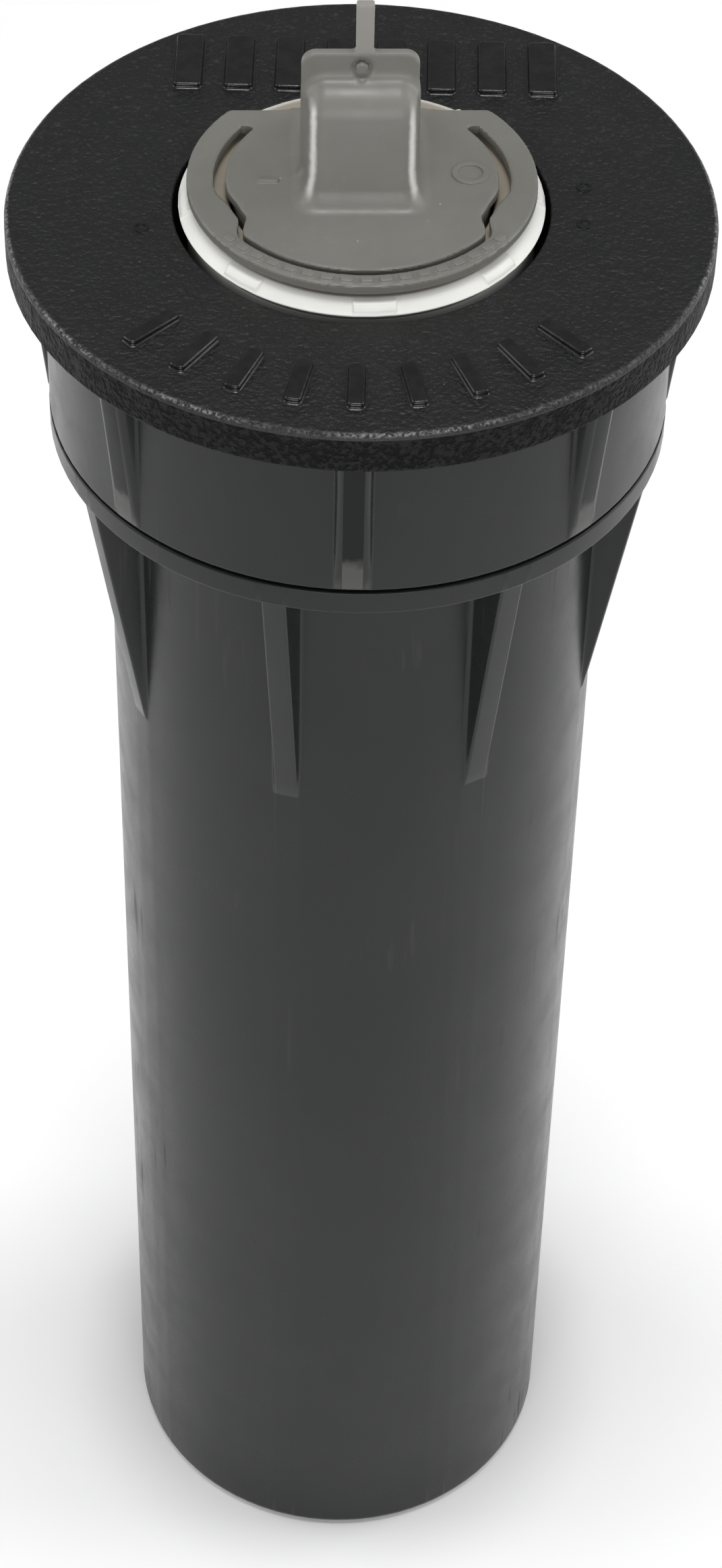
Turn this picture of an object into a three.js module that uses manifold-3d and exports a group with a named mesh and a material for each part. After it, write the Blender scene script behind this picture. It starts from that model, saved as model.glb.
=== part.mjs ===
// A pop-up spray sprinkler: a 100 mm riser in a threaded case, shipped with a flush plug in its top.
// Millimetres, +Z up. The origin is the centre of the case's bottom, and -Y is the front.
// Most sizes build outwards from the riser's stem and upwards from the case's bottom.

import * as THREE from "three";
import { mergeVertices } from "three/addons/utils/BufferGeometryUtils.js";
import Module from "manifold-3d";

const wasm = await Module();
wasm.setup();

// ---------------------------------------------------------------- driving dimensions

const GAP = 0.3; // left between neighbouring pieces
const FACETS = 48; // sides of every turned shape
const OVERLAP = 0.4; // how far a rib or tooth runs into the wall it is moulded on
const CLEAR = 2; // how far a cutting shape runs past what it cuts
const ARC_STEPS = 3; // edges in a rounded quarter turn

// Riser
const STROKE = 100;
const STEM_DIAMETER = 19;
const STEM_WALL = 1.9;
const HEAD_STEP = 5.2; // from the stem's surface to the head's
const HEAD_SEAT_DEPTH = 11.4; // from the cap's top face down to the head's underside
const HEAD_RIM_RISE = 0.35;
const HEAD_LAND_RISE = 1.2;
const HEAD_LAND_INSET = 1.4;
const HEAD_RIM_SLOPE = 0.15; // how far the rim climbs towards the land
const HEAD_WALL = 1.5;
const PLUG_SOCKET_STEP = 1.1; // from the stem's radius to the plug socket's
const PLUG_SOCKET_DEPTH = 9.2;
const PLUG_SOCKET_LEAD = 1; // height of the cone from the socket down to the waterway
const HEAD_CORE_WIDTH = 1.2;
const HEAD_CORE_ROOF = 2.4;
const GRIP_BLOCKS = 8;
const GRIP_BLOCK_WIDTH = 3.4;
const GRIP_BLOCK_LENGTH = 1.0;
const GRIP_BLOCK_HEIGHT = 0.75;
const GRIP_BLOCK_DRAFT = 0.2;
const GRIP_BLOCK_BEVEL = 0.3;
const GRIP_PHASE = 5; // degrees from the front, towards +X
const RATCHET_TEETH = 24;
const TOOTH_DEPTH = 0.65;
const TOOTH_WIDTH = 1.1;
const SPIGOT_STEP = 0.8; // the stem is this much slimmer inside the foot

// Pieces on the riser's lower end
const FOOT_HEIGHT = 2.8;
const FOOT_FLANGE = 4.7;
const FOOT_BEVEL = 0.8;
const RATCHET_HEIGHT = 4.6;
const PAWLS = 4;
const PAWL_WIDTH = 3;
const PAWL_REACH = 0.85;
const PAWL_BEVEL = 1;

// Spring
const WIRE_DIAMETER = 1.2;
const SPRING_PLAY = 2.3; // from the stem to the wire
const SPRING_TURNS = 9;
const SPRING_SOLID_ROOM = 13.2;
const SPRING_STEPS_PER_TURN = 12;
const WIRE_FACETS = 6;

// Seals
const SUPPORT_HEIGHT = 2.7;
const SUPPORT_LIP = 1.2;
const SUPPORT_RIM = 1.7;
const SEAL_HEIGHT = 3;
const SEAL_LIP_HEIGHT = 2; // from the lip's lower edge up to the seal's top
const SEAL_LIP_TAPER = 1;
const SEAL_LIP_BEVEL = 0.5;
const GASKET_HEIGHT = 1.1;
const GASKET_INSET = 0.3;

// Cap
const CAP_HEIGHT = 18.3;
const FLANGE_THICKNESS = 3.7;
const FLANGE_OVERHANG = 2.9; // past the skirt
const FLANGE_EDGE_RADIUS = 0.8;
const HEAD_PLAY = 0.4; // from the head to the cap's opening
const SLEEVE_WALL = 1.6;
const SKIRT_WALL = 2.6;
const CAP_RIBS = 8;
const CAP_RIB_WIDTH = 2.8;
const CAP_RIB_TOP = 1.7; // how far a rib stands out under the flange
const CAP_RIB_BOTTOM = 0.15;
const MARK_HEIGHT = 0.45; // raised plain bars on the cap's top face
const FRONT_BARS = 9;
const FRONT_BAR_STEP = 11; // degrees
const FRONT_BAR_WIDTH = 1.3;
const FRONT_BAR_LENGTH = 5;
const FRONT_BAR_INSET = 3.1; // from the flange's edge
const REAR_BARS = 8;
const REAR_BAR_STEP = 4.2;
const REAR_BAR_WIDTH = 2.3;
const REAR_BAR_LENGTH = 7.2;
const REAR_BAR_SETBACK = 0.2; // from the cap's opening, on the centre line

// Case
const MOUTH_GAP = 1.9; // from the cap's sleeve to the case's bore
const INSERT_PLAY = 0.4; // from the case's bore to the loose rings in it
const CASE_WALL = 2.4;
const BOTTOM_EDGE_RADIUS = 1.2;
const COLLAR_HEIGHT = 2.2;
const COLLAR_OVERHANG = 0.05; // past the cap's skirt
const GUSSETS = 8;
const GUSSET_LENGTH = 25.8;
const GUSSET_WIDTH = 2.1;
const GUSSET_INSET = 0.45; // from the collar's edge
const GUSSET_TIP = 0.15;
const GUSSET_PHASE = -14.4; // degrees from the front, towards +X
const GUIDE_RIBS = 8;
const GUIDE_RIB_WIDTH = 1.6;
const GUIDE_RIB_DEPTH = 1;
const GUIDE_RIB_STOP = 8; // from the spring's top down to the ribs' upper ends
const FLOOR_THICKNESS = 2.5;
const FLOOR_HOLE_RADIUS = 8;

// Inlet, a half-inch female pipe thread
const INLET_RADIUS = 10.6;
const INLET_DEPTH = 13;
const INLET_WALL = 3;
const INLET_PITCH = 1.814;
const INLET_THREAD_DEPTH = 0.8;
const INLET_THREAD_WIDTH = 1.27; // at the root
const INLET_FACETS = 16; // steps in one turn of the inlet's thread
const INLET_WEBS = 8;
const INLET_WEB_WIDTH = 1.6;

// Cap thread, right-handed
const PITCH = 4;
const THREAD_DEPTH = 1.5;
const THREAD_PLAY = 0.5;
const MALE_WIDTH = 1.9; // at the root
const FEMALE_WIDTH = 1.4; // at the root
const THREAD_MARGIN = 0.6; // from the thread to the neck's two ends
const THREAD_FACETS = 24; // steps in one turn
const THREAD_RUNOUT = 0.06; // share of a thread's length over which each end sinks away
const THREAD_SINK = 0.9; // how much of its depth the end of a thread sinks
const THREAD_FLANK = 0.5; // how much narrower a thread gets for each millimetre of depth

// Flush plug
const PLUG_TURN = 2.4; // degrees about +Z that the plug happens to be turned
const PLUG_INSET = 0.75; // from the head's radius to the disc's
const DISC_RISE = 1.8; // from the cap's top face to the disc's underside
const DISC_THICKNESS = 0.85;
const DISC_CHORD = 9.15; // where the rear of the disc is cut off straight
const SKIRT_DEPTH = 7.2;
const PLUG_SKIRT_WALL = 1.1;
const HOOD_WIDTH = 9.3;
const HOOD_FRONT = -2.2;
const HOOD_HEIGHT = 9.3;
const HOOD_WALL = 0.9;
const HOOD_FOOT = 2.3; // how far the fillet at the hood's foot spreads
const HOOD_LEDGE = 2; // left of the disc behind the hood's mouth
const TAB_FRONT = 0;
const TAB_THICKNESS = 0.75;
const TAB_HEIGHT = 2.4;
const TAB_CORNER = 0.9;
const TAB_OVERHANG = 0.2; // past the hood on each side
const STRIP_WIDTH = 1.4;
const STRIP_THICKNESS = 0.75;
const STRIP_HEIGHT = 4.4;
const RING_REAR = 7; // where the ring's two ends hinge, towards the rear
const RING_INSETS = { front: 1.5, notch: 2.8, rear: 2.15 }; // from the disc's rim in to the ring's edge
const SLOT_WIDTHS = { front: 0.5, notch: 0.7, rear: 0.95 };

// ---------------------------------------------------------------- radii, from the axis outwards

const stemRadius = STEM_DIAMETER / 2;
const waterwayRadius = stemRadius - STEM_WALL;
const headRadius = stemRadius + HEAD_STEP;
const socketRadius = stemRadius + PLUG_SOCKET_STEP;
const springRadius = stemRadius + SPRING_PLAY + WIRE_DIAMETER / 2;
const openingRadius = headRadius + HEAD_PLAY;
const sleeveRadius = openingRadius + SLEEVE_WALL;
const boreRadius = sleeveRadius + MOUTH_GAP;
const caseRadius = boreRadius + CASE_WALL;
const threadRadius = caseRadius + THREAD_DEPTH;
const skirtInnerRadius = threadRadius + THREAD_PLAY;
const skirtRadius = skirtInnerRadius + SKIRT_WALL;
const flangeRadius = skirtRadius + FLANGE_OVERHANG;
const collarRadius = skirtRadius + COLLAR_OVERHANG;
const insertRadius = boreRadius - INSERT_PLAY; // the loose rings that fit the case's bore
const discRadius = headRadius - PLUG_INSET;

// ---------------------------------------------------------------- heights, from the bottom up

const floorTop = INLET_DEPTH + FLOOR_THICKNESS;
const footBottom = floorTop + GAP;
const footTop = footBottom + FOOT_HEIGHT;
const ratchetBottom = footTop + GAP;
const ratchetTop = ratchetBottom + RATCHET_HEIGHT;
const springBottom = ratchetTop + GAP;
const springTop = springBottom + STROKE + SPRING_SOLID_ROOM;
const supportBottom = springTop + GAP;
const supportTop = supportBottom + SUPPORT_HEIGHT;
const sealBottom = supportTop + GAP;
const sealTop = sealBottom + SEAL_HEIGHT;
const headBottom = sealTop + GAP;
const capTop = headBottom + HEAD_SEAT_DEPTH;
const flangeBottom = capTop - FLANGE_THICKNESS;
const capBottom = capTop - CAP_HEIGHT;
const collarTop = capBottom - GAP;
const collarBottom = collarTop - COLLAR_HEIGHT;
const gasketTop = flangeBottom - GAP;
const mouthTop = gasketTop - GASKET_HEIGHT - GAP;
const discBottom = capTop + DISC_RISE;
const discTop = discBottom + DISC_THICKNESS;
const hoodTop = discTop + HOOD_HEIGHT;
const tabTop = hoodTop + TAB_HEIGHT;
const threadBottom = collarTop + THREAD_MARGIN + MALE_WIDTH / 2;
const threadTurns = (mouthTop - THREAD_MARGIN - MALE_WIDTH / 2 - threadBottom) / PITCH;

// ---------------------------------------------------------------- solids

// A closed geometry as a manifold solid, with its faces turned outwards.
function solidOf(geometry) {
  const bare = geometry.index ? geometry.toNonIndexed() : geometry.clone();
  bare.deleteAttribute("normal");
  bare.deleteAttribute("uv");
  const merged = mergeVertices(bare, 1e-4);
  const triVerts = new Uint32Array(merged.index.array);
  const vertProperties = merged.attributes.position.array;
  if (signedVolume(vertProperties, triVerts) < 0) triVerts.reverse();
  return new wasm.Manifold(new wasm.Mesh({ numProp: 3, vertProperties, triVerts }));
}

function signedVolume(positions, triangles) {
  const corner = (i) => new THREE.Vector3().fromArray(positions, 3 * triangles[i]);
  let volume = 0;
  for (let i = 0; i < triangles.length; i += 3) {
    volume += corner(i).dot(corner(i + 1).cross(corner(i + 2))) / 6;
  }
  return volume;
}

function geometryOf(solid) {
  const mesh = solid.getMesh();
  const geometry = new THREE.BufferGeometry();
  geometry.setAttribute("position", new THREE.BufferAttribute(mesh.vertProperties, 3));
  geometry.setIndex(new THREE.BufferAttribute(mesh.triVerts, 1));
  geometry.computeVertexNormals();
  return geometry;
}

// A closed outline of [radius, height] corners turned about Z.
function turned(corners, facets = FACETS) {
  const outline = corners.map(([radius, height]) => new THREE.Vector2(radius, height));
  outline.push(outline[0].clone());
  return solidOf(new THREE.LatheGeometry(outline, facets).rotateX(Math.PI / 2));
}

function ringSolid(inner, outer, bottom, top) {
  return turned([[inner, bottom], [outer, bottom], [outer, top], [inner, top]]);
}

// A plan outline in X and Y, raised from one height to another.
function raised(shape, bottom, top) {
  const options = { depth: top - bottom, bevelEnabled: false, curveSegments: 12 };
  return solidOf(new THREE.ExtrudeGeometry(shape, options).translate(0, 0, bottom));
}

// A side outline of [distance, height] corners, extruded to a width and centred on the radius
// that leaves the axis at an angle from the front.
function radialWeb(corners, width, angle) {
  const shape = new THREE.Shape(corners.map(([radius, height]) => new THREE.Vector2(radius, height)));
  const web = new THREE.ExtrudeGeometry(shape, { depth: width, bevelEnabled: false });
  web.translate(0, 0, -width / 2).rotateX(Math.PI / 2);
  return solidOf(web.rotateZ(THREE.MathUtils.degToRad(angle - 90)));
}

function around(count, phase, make) {
  return Array.from({ length: count }, (_, i) => make(phase + (i * 360) / count));
}

// Points [across, up] on a quarter circle about a centre, from one angle in degrees to another.
function arc(across, up, radius, from, to) {
  return Array.from({ length: ARC_STEPS + 1 }, (_, i) => {
    const angle = THREE.MathUtils.degToRad(THREE.MathUtils.lerp(from, to, i / ARC_STEPS));
    return [across + radius * Math.cos(angle), up + radius * Math.sin(angle)];
  });
}

function joined(first, others) {
  return others.reduce((sum, other) => sum.add(other), first);
}

function without(first, others) {
  return others.reduce((rest, other) => rest.subtract(other), first);
}

// A helix whose section stays square to the axis. Its ends can sink towards the axis, so that a
// thread runs out into its wall.
class Helix extends THREE.Curve {
  constructor(radius, bottom, pitch, turns, sink = 0) {
    super();
    Object.assign(this, { radius, bottom, pitch, turns, sink });
  }

  getPoint(t, target = new THREE.Vector3()) {
    const angle = 2 * Math.PI * this.turns * t;
    const end = Math.min(1, Math.min(t, 1 - t) / THREAD_RUNOUT);
    const radius = this.radius - this.sink * (1 - end);
    const height = this.bottom + this.pitch * this.turns * t;
    return target.set(radius * Math.cos(angle), radius * Math.sin(angle), height);
  }

  computeFrenetFrames(segments) {
    const tangents = [];
    const normals = [];
    const binormals = [];
    for (let i = 0; i <= segments; i++) {
      const point = this.getPointAt(i / segments);
      const outward = new THREE.Vector3(point.x, point.y, 0).normalize();
      const along = new THREE.Vector3(-outward.y, outward.x, 0);
      tangents.push(along);
      normals.push(outward);
      binormals.push(new THREE.Vector3(0, 0, 1));
    }
    return { tangents, normals, binormals };
  }
}

// A ridge along a helix. reach is how far it stands from its root, inwards when negative.
function threadRidge(rootRadius, reach, rootWidth, bottom, pitch, turns, facets) {
  const side = Math.sign(reach);
  const tipWidth = rootWidth - Math.abs(reach) * THREAD_FLANK;
  const section = new THREE.Shape([
    new THREE.Vector2(-side * OVERLAP, -rootWidth / 2),
    new THREE.Vector2(reach, -tipWidth / 2),
    new THREE.Vector2(reach, tipWidth / 2),
    new THREE.Vector2(-side * OVERLAP, rootWidth / 2),
  ]);
  const path = new Helix(rootRadius, bottom, pitch, turns, reach * THREAD_SINK);
  const steps = Math.ceil(turns * facets);
  return solidOf(new THREE.ExtrudeGeometry(section, { steps, extrudePath: path, bevelEnabled: false }));
}

// ---------------------------------------------------------------- case

function caseShell() {
  const bossRadius = INLET_RADIUS + INLET_WALL;
  const shell = turned([
    [INLET_RADIUS, 0],
    [bossRadius, 0],
    [bossRadius, INLET_DEPTH],
    [boreRadius, INLET_DEPTH],
    [boreRadius, 0],
    ...arc(caseRadius - BOTTOM_EDGE_RADIUS, BOTTOM_EDGE_RADIUS, BOTTOM_EDGE_RADIUS, -90, 0),
    [caseRadius, collarBottom],
    [collarRadius, collarBottom],
    [collarRadius, collarTop],
    [caseRadius, collarTop],
    [caseRadius, mouthTop],
    [boreRadius, mouthTop],
    [boreRadius, floorTop],
    [FLOOR_HOLE_RADIUS, floorTop],
    [FLOOR_HOLE_RADIUS, INLET_DEPTH],
    [INLET_RADIUS, INLET_DEPTH],
  ]);
  return joined(shell, [...gussets(), ...guideRibs(), ...inletWebs(), caseThread(), inletThread()]);
}

function gussets() {
  const inside = caseRadius - OVERLAP;
  const tip = collarBottom - GUSSET_LENGTH;
  const profile = [
    [inside, tip],
    [caseRadius + GUSSET_TIP, tip],
    [collarRadius - GUSSET_INSET, collarBottom],
    [collarRadius - GUSSET_INSET, collarBottom + OVERLAP],
    [inside, collarBottom + OVERLAP],
  ];
  return around(GUSSETS, GUSSET_PHASE, (angle) => radialWeb(profile, GUSSET_WIDTH, angle));
}

function guideRibs() {
  const tip = boreRadius - GUIDE_RIB_DEPTH;
  const top = springTop - GUIDE_RIB_STOP;
  const profile = [
    [tip, floorTop - OVERLAP],
    [boreRadius + OVERLAP, floorTop - OVERLAP],
    [boreRadius + OVERLAP, top + GUIDE_RIB_DEPTH],
    [tip, top],
  ];
  return around(GUIDE_RIBS, 0, (angle) => radialWeb(profile, GUIDE_RIB_WIDTH, angle));
}

function inletWebs() {
  const inside = INLET_RADIUS + INLET_WALL - OVERLAP;
  const outside = boreRadius + OVERLAP;
  const profile = [
    [inside, FLOOR_THICKNESS],
    [outside, FLOOR_THICKNESS],
    [outside, INLET_DEPTH + OVERLAP],
    [inside, INLET_DEPTH + OVERLAP],
  ];
  return around(INLET_WEBS, 0, (angle) => radialWeb(profile, INLET_WEB_WIDTH, angle));
}

function caseThread() {
  return threadRidge(caseRadius, THREAD_DEPTH, MALE_WIDTH, threadBottom, PITCH, threadTurns, THREAD_FACETS);
}

function inletThread() {
  const turns = Math.floor((INLET_DEPTH - 2 * INLET_PITCH) / INLET_PITCH);
  const reach = -INLET_THREAD_DEPTH;
  return threadRidge(INLET_RADIUS, reach, INLET_THREAD_WIDTH, INLET_PITCH, INLET_PITCH, turns, INLET_FACETS);
}

// ---------------------------------------------------------------- cap

function bodyCap() {
  const cap = turned([
    [openingRadius, headBottom],
    [sleeveRadius, headBottom],
    [sleeveRadius, flangeBottom],
    [skirtInnerRadius, flangeBottom],
    [skirtInnerRadius, capBottom],
    [skirtRadius, capBottom],
    [skirtRadius, flangeBottom],
    [flangeRadius, flangeBottom],
    ...arc(flangeRadius - FLANGE_EDGE_RADIUS, capTop - FLANGE_EDGE_RADIUS, FLANGE_EDGE_RADIUS, 0, 90),
    [openingRadius, capTop],
  ]);
  return joined(cap, [...capRibs(), ...raisedMarks(), capThread()]);
}

function capRibs() {
  const inside = skirtRadius - OVERLAP;
  const profile = [
    [inside, capBottom + GAP],
    [skirtRadius + CAP_RIB_BOTTOM, capBottom + GAP],
    [skirtRadius + CAP_RIB_TOP, flangeBottom],
    [skirtRadius + CAP_RIB_TOP, flangeBottom + OVERLAP],
    [inside, flangeBottom + OVERLAP],
  ];
  return around(CAP_RIBS, 0, (angle) => radialWeb(profile, CAP_RIB_WIDTH, angle));
}

function capThread() {
  const bottom = threadBottom + PITCH / 2;
  const turns = threadTurns - 0.5;
  const reach = -THREAD_DEPTH;
  return threadRidge(skirtInnerRadius, reach, FEMALE_WIDTH, bottom, PITCH, turns, THREAD_FACETS);
}

// Plain raised bars: a fan of radial ones at the front, and a straight row of broad ones at the rear.
function raisedMarks() {
  const outer = flangeRadius - FRONT_BAR_INSET;
  const inner = outer - FRONT_BAR_LENGTH;
  const foot = capTop - OVERLAP;
  const top = capTop + MARK_HEIGHT;
  const fan = Array.from({ length: FRONT_BARS }, (_, i) => (i - (FRONT_BARS - 1) / 2) * FRONT_BAR_STEP);
  const front = fan.map((angle) =>
    radialWeb([[inner, foot], [outer, foot], [outer, top], [inner, top]], FRONT_BAR_WIDTH, angle),
  );
  const rowFront = openingRadius + REAR_BAR_SETBACK;
  const rear = Array.from({ length: REAR_BARS }, (_, i) => {
    const bar = new THREE.BoxGeometry(REAR_BAR_WIDTH, REAR_BAR_LENGTH, top - foot);
    const across = (i - (REAR_BARS - 1) / 2) * REAR_BAR_STEP;
    return solidOf(bar.translate(across, rowFront + REAR_BAR_LENGTH / 2, (top + foot) / 2));
  });
  return [...front, ...rear];
}

// ---------------------------------------------------------------- seals

function wiperSeal() {
  const lip = stemRadius + GAP;
  return turned([
    [lip, sealTop - SEAL_LIP_HEIGHT],
    [lip + SEAL_LIP_TAPER, sealBottom],
    [insertRadius, sealBottom],
    [insertRadius, sealTop],
    [lip + SEAL_LIP_TAPER, sealTop],
    [lip, sealTop - SEAL_LIP_BEVEL],
  ]);
}

function capGasket() {
  return ringSolid(boreRadius + GASKET_INSET, caseRadius - GASKET_INSET, mouthTop + GAP, gasketTop);
}

function sealSupportRing() {
  const hole = stemRadius + 2 * GAP;
  const seat = springRadius + WIRE_DIAMETER / 2 + GAP;
  return turned([
    [hole, supportBottom],
    [seat, supportBottom],
    [seat, supportBottom - SUPPORT_LIP],
    [seat + SUPPORT_LIP, supportBottom - SUPPORT_LIP],
    [seat + SUPPORT_LIP, supportBottom],
    [insertRadius, supportTop - SUPPORT_RIM],
    [insertRadius, supportTop],
    [hole, supportTop],
  ]);
}

// ---------------------------------------------------------------- riser and spring

function riserStem() {
  const spigot = stemRadius - SPIGOT_STEP;
  const coreOuter = headRadius - HEAD_WALL;
  const coreInner = coreOuter - HEAD_CORE_WIDTH;
  const stem = turned([
    [waterwayRadius, footBottom],
    [spigot, footBottom],
    [spigot, ratchetBottom],
    [stemRadius, ratchetBottom],
    [stemRadius, headBottom],
    [coreInner, headBottom],
    [coreInner, capTop - HEAD_CORE_ROOF],
    [coreOuter, capTop - HEAD_CORE_ROOF],
    [coreOuter, headBottom],
    [headRadius, headBottom],
    [headRadius, capTop + HEAD_RIM_RISE],
    [headRadius - HEAD_LAND_INSET, capTop + HEAD_RIM_RISE + HEAD_RIM_SLOPE],
    [headRadius - HEAD_LAND_INSET, capTop + HEAD_LAND_RISE],
    [socketRadius, capTop + HEAD_LAND_RISE],
    [socketRadius, capTop + HEAD_LAND_RISE - PLUG_SOCKET_DEPTH],
    [waterwayRadius, capTop + HEAD_LAND_RISE - PLUG_SOCKET_DEPTH - PLUG_SOCKET_LEAD],
  ]);
  return joined(stem, [...gripBlocks(), ...ratchetTeeth()]);
}

function gripBlocks() {
  const wall = headRadius - HEAD_LAND_INSET;
  const foot = capTop + HEAD_RIM_RISE - OVERLAP;
  const top = capTop + HEAD_RIM_RISE + GRIP_BLOCK_HEIGHT;
  const profile = [
    [wall - OVERLAP, foot],
    [wall + GRIP_BLOCK_LENGTH + GRIP_BLOCK_DRAFT, foot],
    [wall + GRIP_BLOCK_LENGTH, top - GRIP_BLOCK_BEVEL],
    [wall + GRIP_BLOCK_LENGTH - GRIP_BLOCK_BEVEL, top],
    [wall - OVERLAP, top],
  ];
  return around(GRIP_BLOCKS, GRIP_PHASE, (angle) => radialWeb(profile, GRIP_BLOCK_WIDTH, angle));
}

function ratchetTeeth() {
  const profile = [
    [stemRadius - OVERLAP, ratchetBottom],
    [stemRadius + TOOTH_DEPTH, ratchetBottom],
    [stemRadius + TOOTH_DEPTH, ratchetTop - TOOTH_DEPTH],
    [stemRadius - OVERLAP, ratchetTop],
  ];
  return around(RATCHET_TEETH, 0, (angle) => radialWeb(profile, TOOTH_WIDTH, angle));
}

function riserFoot() {
  return turned([
    [stemRadius - SPIGOT_STEP + GAP, footBottom],
    [stemRadius + FOOT_FLANGE - FOOT_BEVEL, footBottom],
    [stemRadius + FOOT_FLANGE, footBottom + FOOT_BEVEL],
    [stemRadius + FOOT_FLANGE, footTop],
    [stemRadius - SPIGOT_STEP + GAP, footTop],
  ]);
}

function ratchetRing() {
  const pawlTip = stemRadius + TOOTH_DEPTH + GAP;
  const inner = pawlTip + PAWL_REACH;
  const ring = ringSolid(inner, insertRadius, ratchetBottom, ratchetTop);
  const notch = (angle) =>
    radialWeb(
      [
        [boreRadius - GUIDE_RIB_DEPTH - GAP, ratchetBottom - CLEAR],
        [boreRadius + CLEAR, ratchetBottom - CLEAR],
        [boreRadius + CLEAR, ratchetTop + CLEAR],
        [boreRadius - GUIDE_RIB_DEPTH - GAP, ratchetTop + CLEAR],
      ],
      GUIDE_RIB_WIDTH + 2 * GAP,
      angle,
    );
  const pawl = (angle) =>
    radialWeb(
      [
        [pawlTip, ratchetBottom + PAWL_BEVEL],
        [inner + OVERLAP, ratchetBottom],
        [inner + OVERLAP, ratchetTop],
        [pawlTip, ratchetTop - PAWL_BEVEL],
      ],
      PAWL_WIDTH,
      angle,
    );
  return joined(without(ring, around(GUIDE_RIBS, 0, notch)), around(PAWLS, 0, pawl));
}

function retractionSpring() {
  const wire = WIRE_DIAMETER / 2;
  const section = new THREE.Shape().absarc(0, 0, wire, 0, 2 * Math.PI);
  const height = springTop - springBottom - WIRE_DIAMETER;
  const path = new Helix(springRadius, springBottom + wire, height / SPRING_TURNS, SPRING_TURNS);
  const options = {
    steps: SPRING_TURNS * SPRING_STEPS_PER_TURN,
    extrudePath: path,
    bevelEnabled: false,
    curveSegments: WIRE_FACETS / 2,
  };
  return solidOf(new THREE.ExtrudeGeometry(section, options));
}

// ---------------------------------------------------------------- flush plug and pull ring

// The plug's plan is drawn with angles from the front. An edge beside the slot runs at one radius
// round the front, steps to another at the snap notch, and to a third along the side.
const NOTCH_FROM = 57;
const NOTCH_TO = 77;
const NOTCH_BLEND = 4;
const EDGE_STEPS = 52;

function edgeRadius(angle, radii) {
  const turn = Math.abs(angle);
  const intoNotch = THREE.MathUtils.smoothstep(turn, NOTCH_FROM - NOTCH_BLEND, NOTCH_FROM + NOTCH_BLEND);
  const intoSide = THREE.MathUtils.smoothstep(turn, NOTCH_TO - NOTCH_BLEND, NOTCH_TO + NOTCH_BLEND);
  const start = THREE.MathUtils.lerp(radii.front, radii.notch, intoNotch);
  return THREE.MathUtils.lerp(start, radii.rear, intoSide);
}

function planPoint(radius, angle) {
  const turn = THREE.MathUtils.degToRad(angle);
  return new THREE.Vector2(radius * Math.sin(turn), -radius * Math.cos(turn));
}

// The angle from the front at which a circle of this radius crosses the line y = rear.
function crossing(radius, rear) {
  return 180 - THREE.MathUtils.radToDeg(Math.acos(rear / radius));
}

// Points round an edge, from one rear crossing over the front to the other.
function edgePoints(radii, rear) {
  const last = crossing(radii.rear, rear);
  const steps = EDGE_STEPS;
  return Array.from({ length: steps + 1 }, (_, i) => {
    const angle = last * ((2 * i) / steps - 1);
    return planPoint(edgeRadius(angle, radii), angle);
  });
}

function rimPoints(from, to, steps) {
  return Array.from({ length: steps + 1 }, (_, i) =>
    planPoint(discRadius, THREE.MathUtils.lerp(from, to, i / steps)),
  );
}

const ringRadii = {
  front: discRadius - RING_INSETS.front,
  notch: discRadius - RING_INSETS.notch,
  rear: discRadius - RING_INSETS.rear,
};
const discRadii = {
  front: ringRadii.front - SLOT_WIDTHS.front,
  notch: ringRadii.notch - SLOT_WIDTHS.notch,
  rear: ringRadii.rear - SLOT_WIDTHS.rear,
};

function discPlan() {
  const hinge = RING_REAR + GAP / 2;
  const rimHinge = crossing(discRadius, hinge);
  const rimChord = crossing(discRadius, DISC_CHORD);
  return new THREE.Shape([
    ...edgePoints(discRadii, hinge),
    ...rimPoints(rimHinge, rimChord, 4),
    ...rimPoints(-rimChord, -rimHinge, 4),
  ]);
}

function ringPlan() {
  const hinge = RING_REAR - GAP / 2;
  const rimHinge = crossing(discRadius, hinge);
  return new THREE.Shape([...edgePoints(ringRadii, hinge), ...rimPoints(rimHinge, -rimHinge, FACETS)]);
}

// A side outline of [y, z] corners, extruded across X and centred.
function acrossX(corners, width) {
  const shape = new THREE.Shape(corners.map(([y, z]) => new THREE.Vector2(y, z)));
  const web = new THREE.ExtrudeGeometry(shape, { depth: width, bevelEnabled: false });
  return solidOf(web.translate(0, 0, -width / 2).rotateX(Math.PI / 2).rotateZ(Math.PI / 2));
}

// The hood is a scoop: a front wall, a short roof and two side walls that fall to the rear.
function hoodSolid() {
  return acrossX(
    [
      [HOOD_FRONT - HOOD_FOOT, discBottom + GAP],
      ...arc(HOOD_FRONT - HOOD_FOOT, discTop + HOOD_FOOT, HOOD_FOOT, -90, 0),
      ...arc(HOOD_FRONT + HOOD_WALL, hoodTop - HOOD_WALL, HOOD_WALL, 180, 90),
      [TAB_FRONT + TAB_THICKNESS, hoodTop],
      [DISC_CHORD, discTop],
      [DISC_CHORD, discBottom + GAP],
    ],
    HOOD_WIDTH,
  );
}

function hoodHollow() {
  const front = HOOD_FRONT + HOOD_WALL;
  const roof = hoodTop - HOOD_WALL;
  return acrossX(
    [
      [front, discBottom - CLEAR],
      [front, roof],
      [DISC_CHORD + CLEAR, roof],
      [DISC_CHORD + CLEAR, discTop + GAP],
      [DISC_CHORD - HOOD_LEDGE, discTop + GAP],
      [DISC_CHORD - HOOD_LEDGE, discBottom - CLEAR],
    ],
    HOOD_WIDTH - 2 * HOOD_WALL,
  );
}

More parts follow.
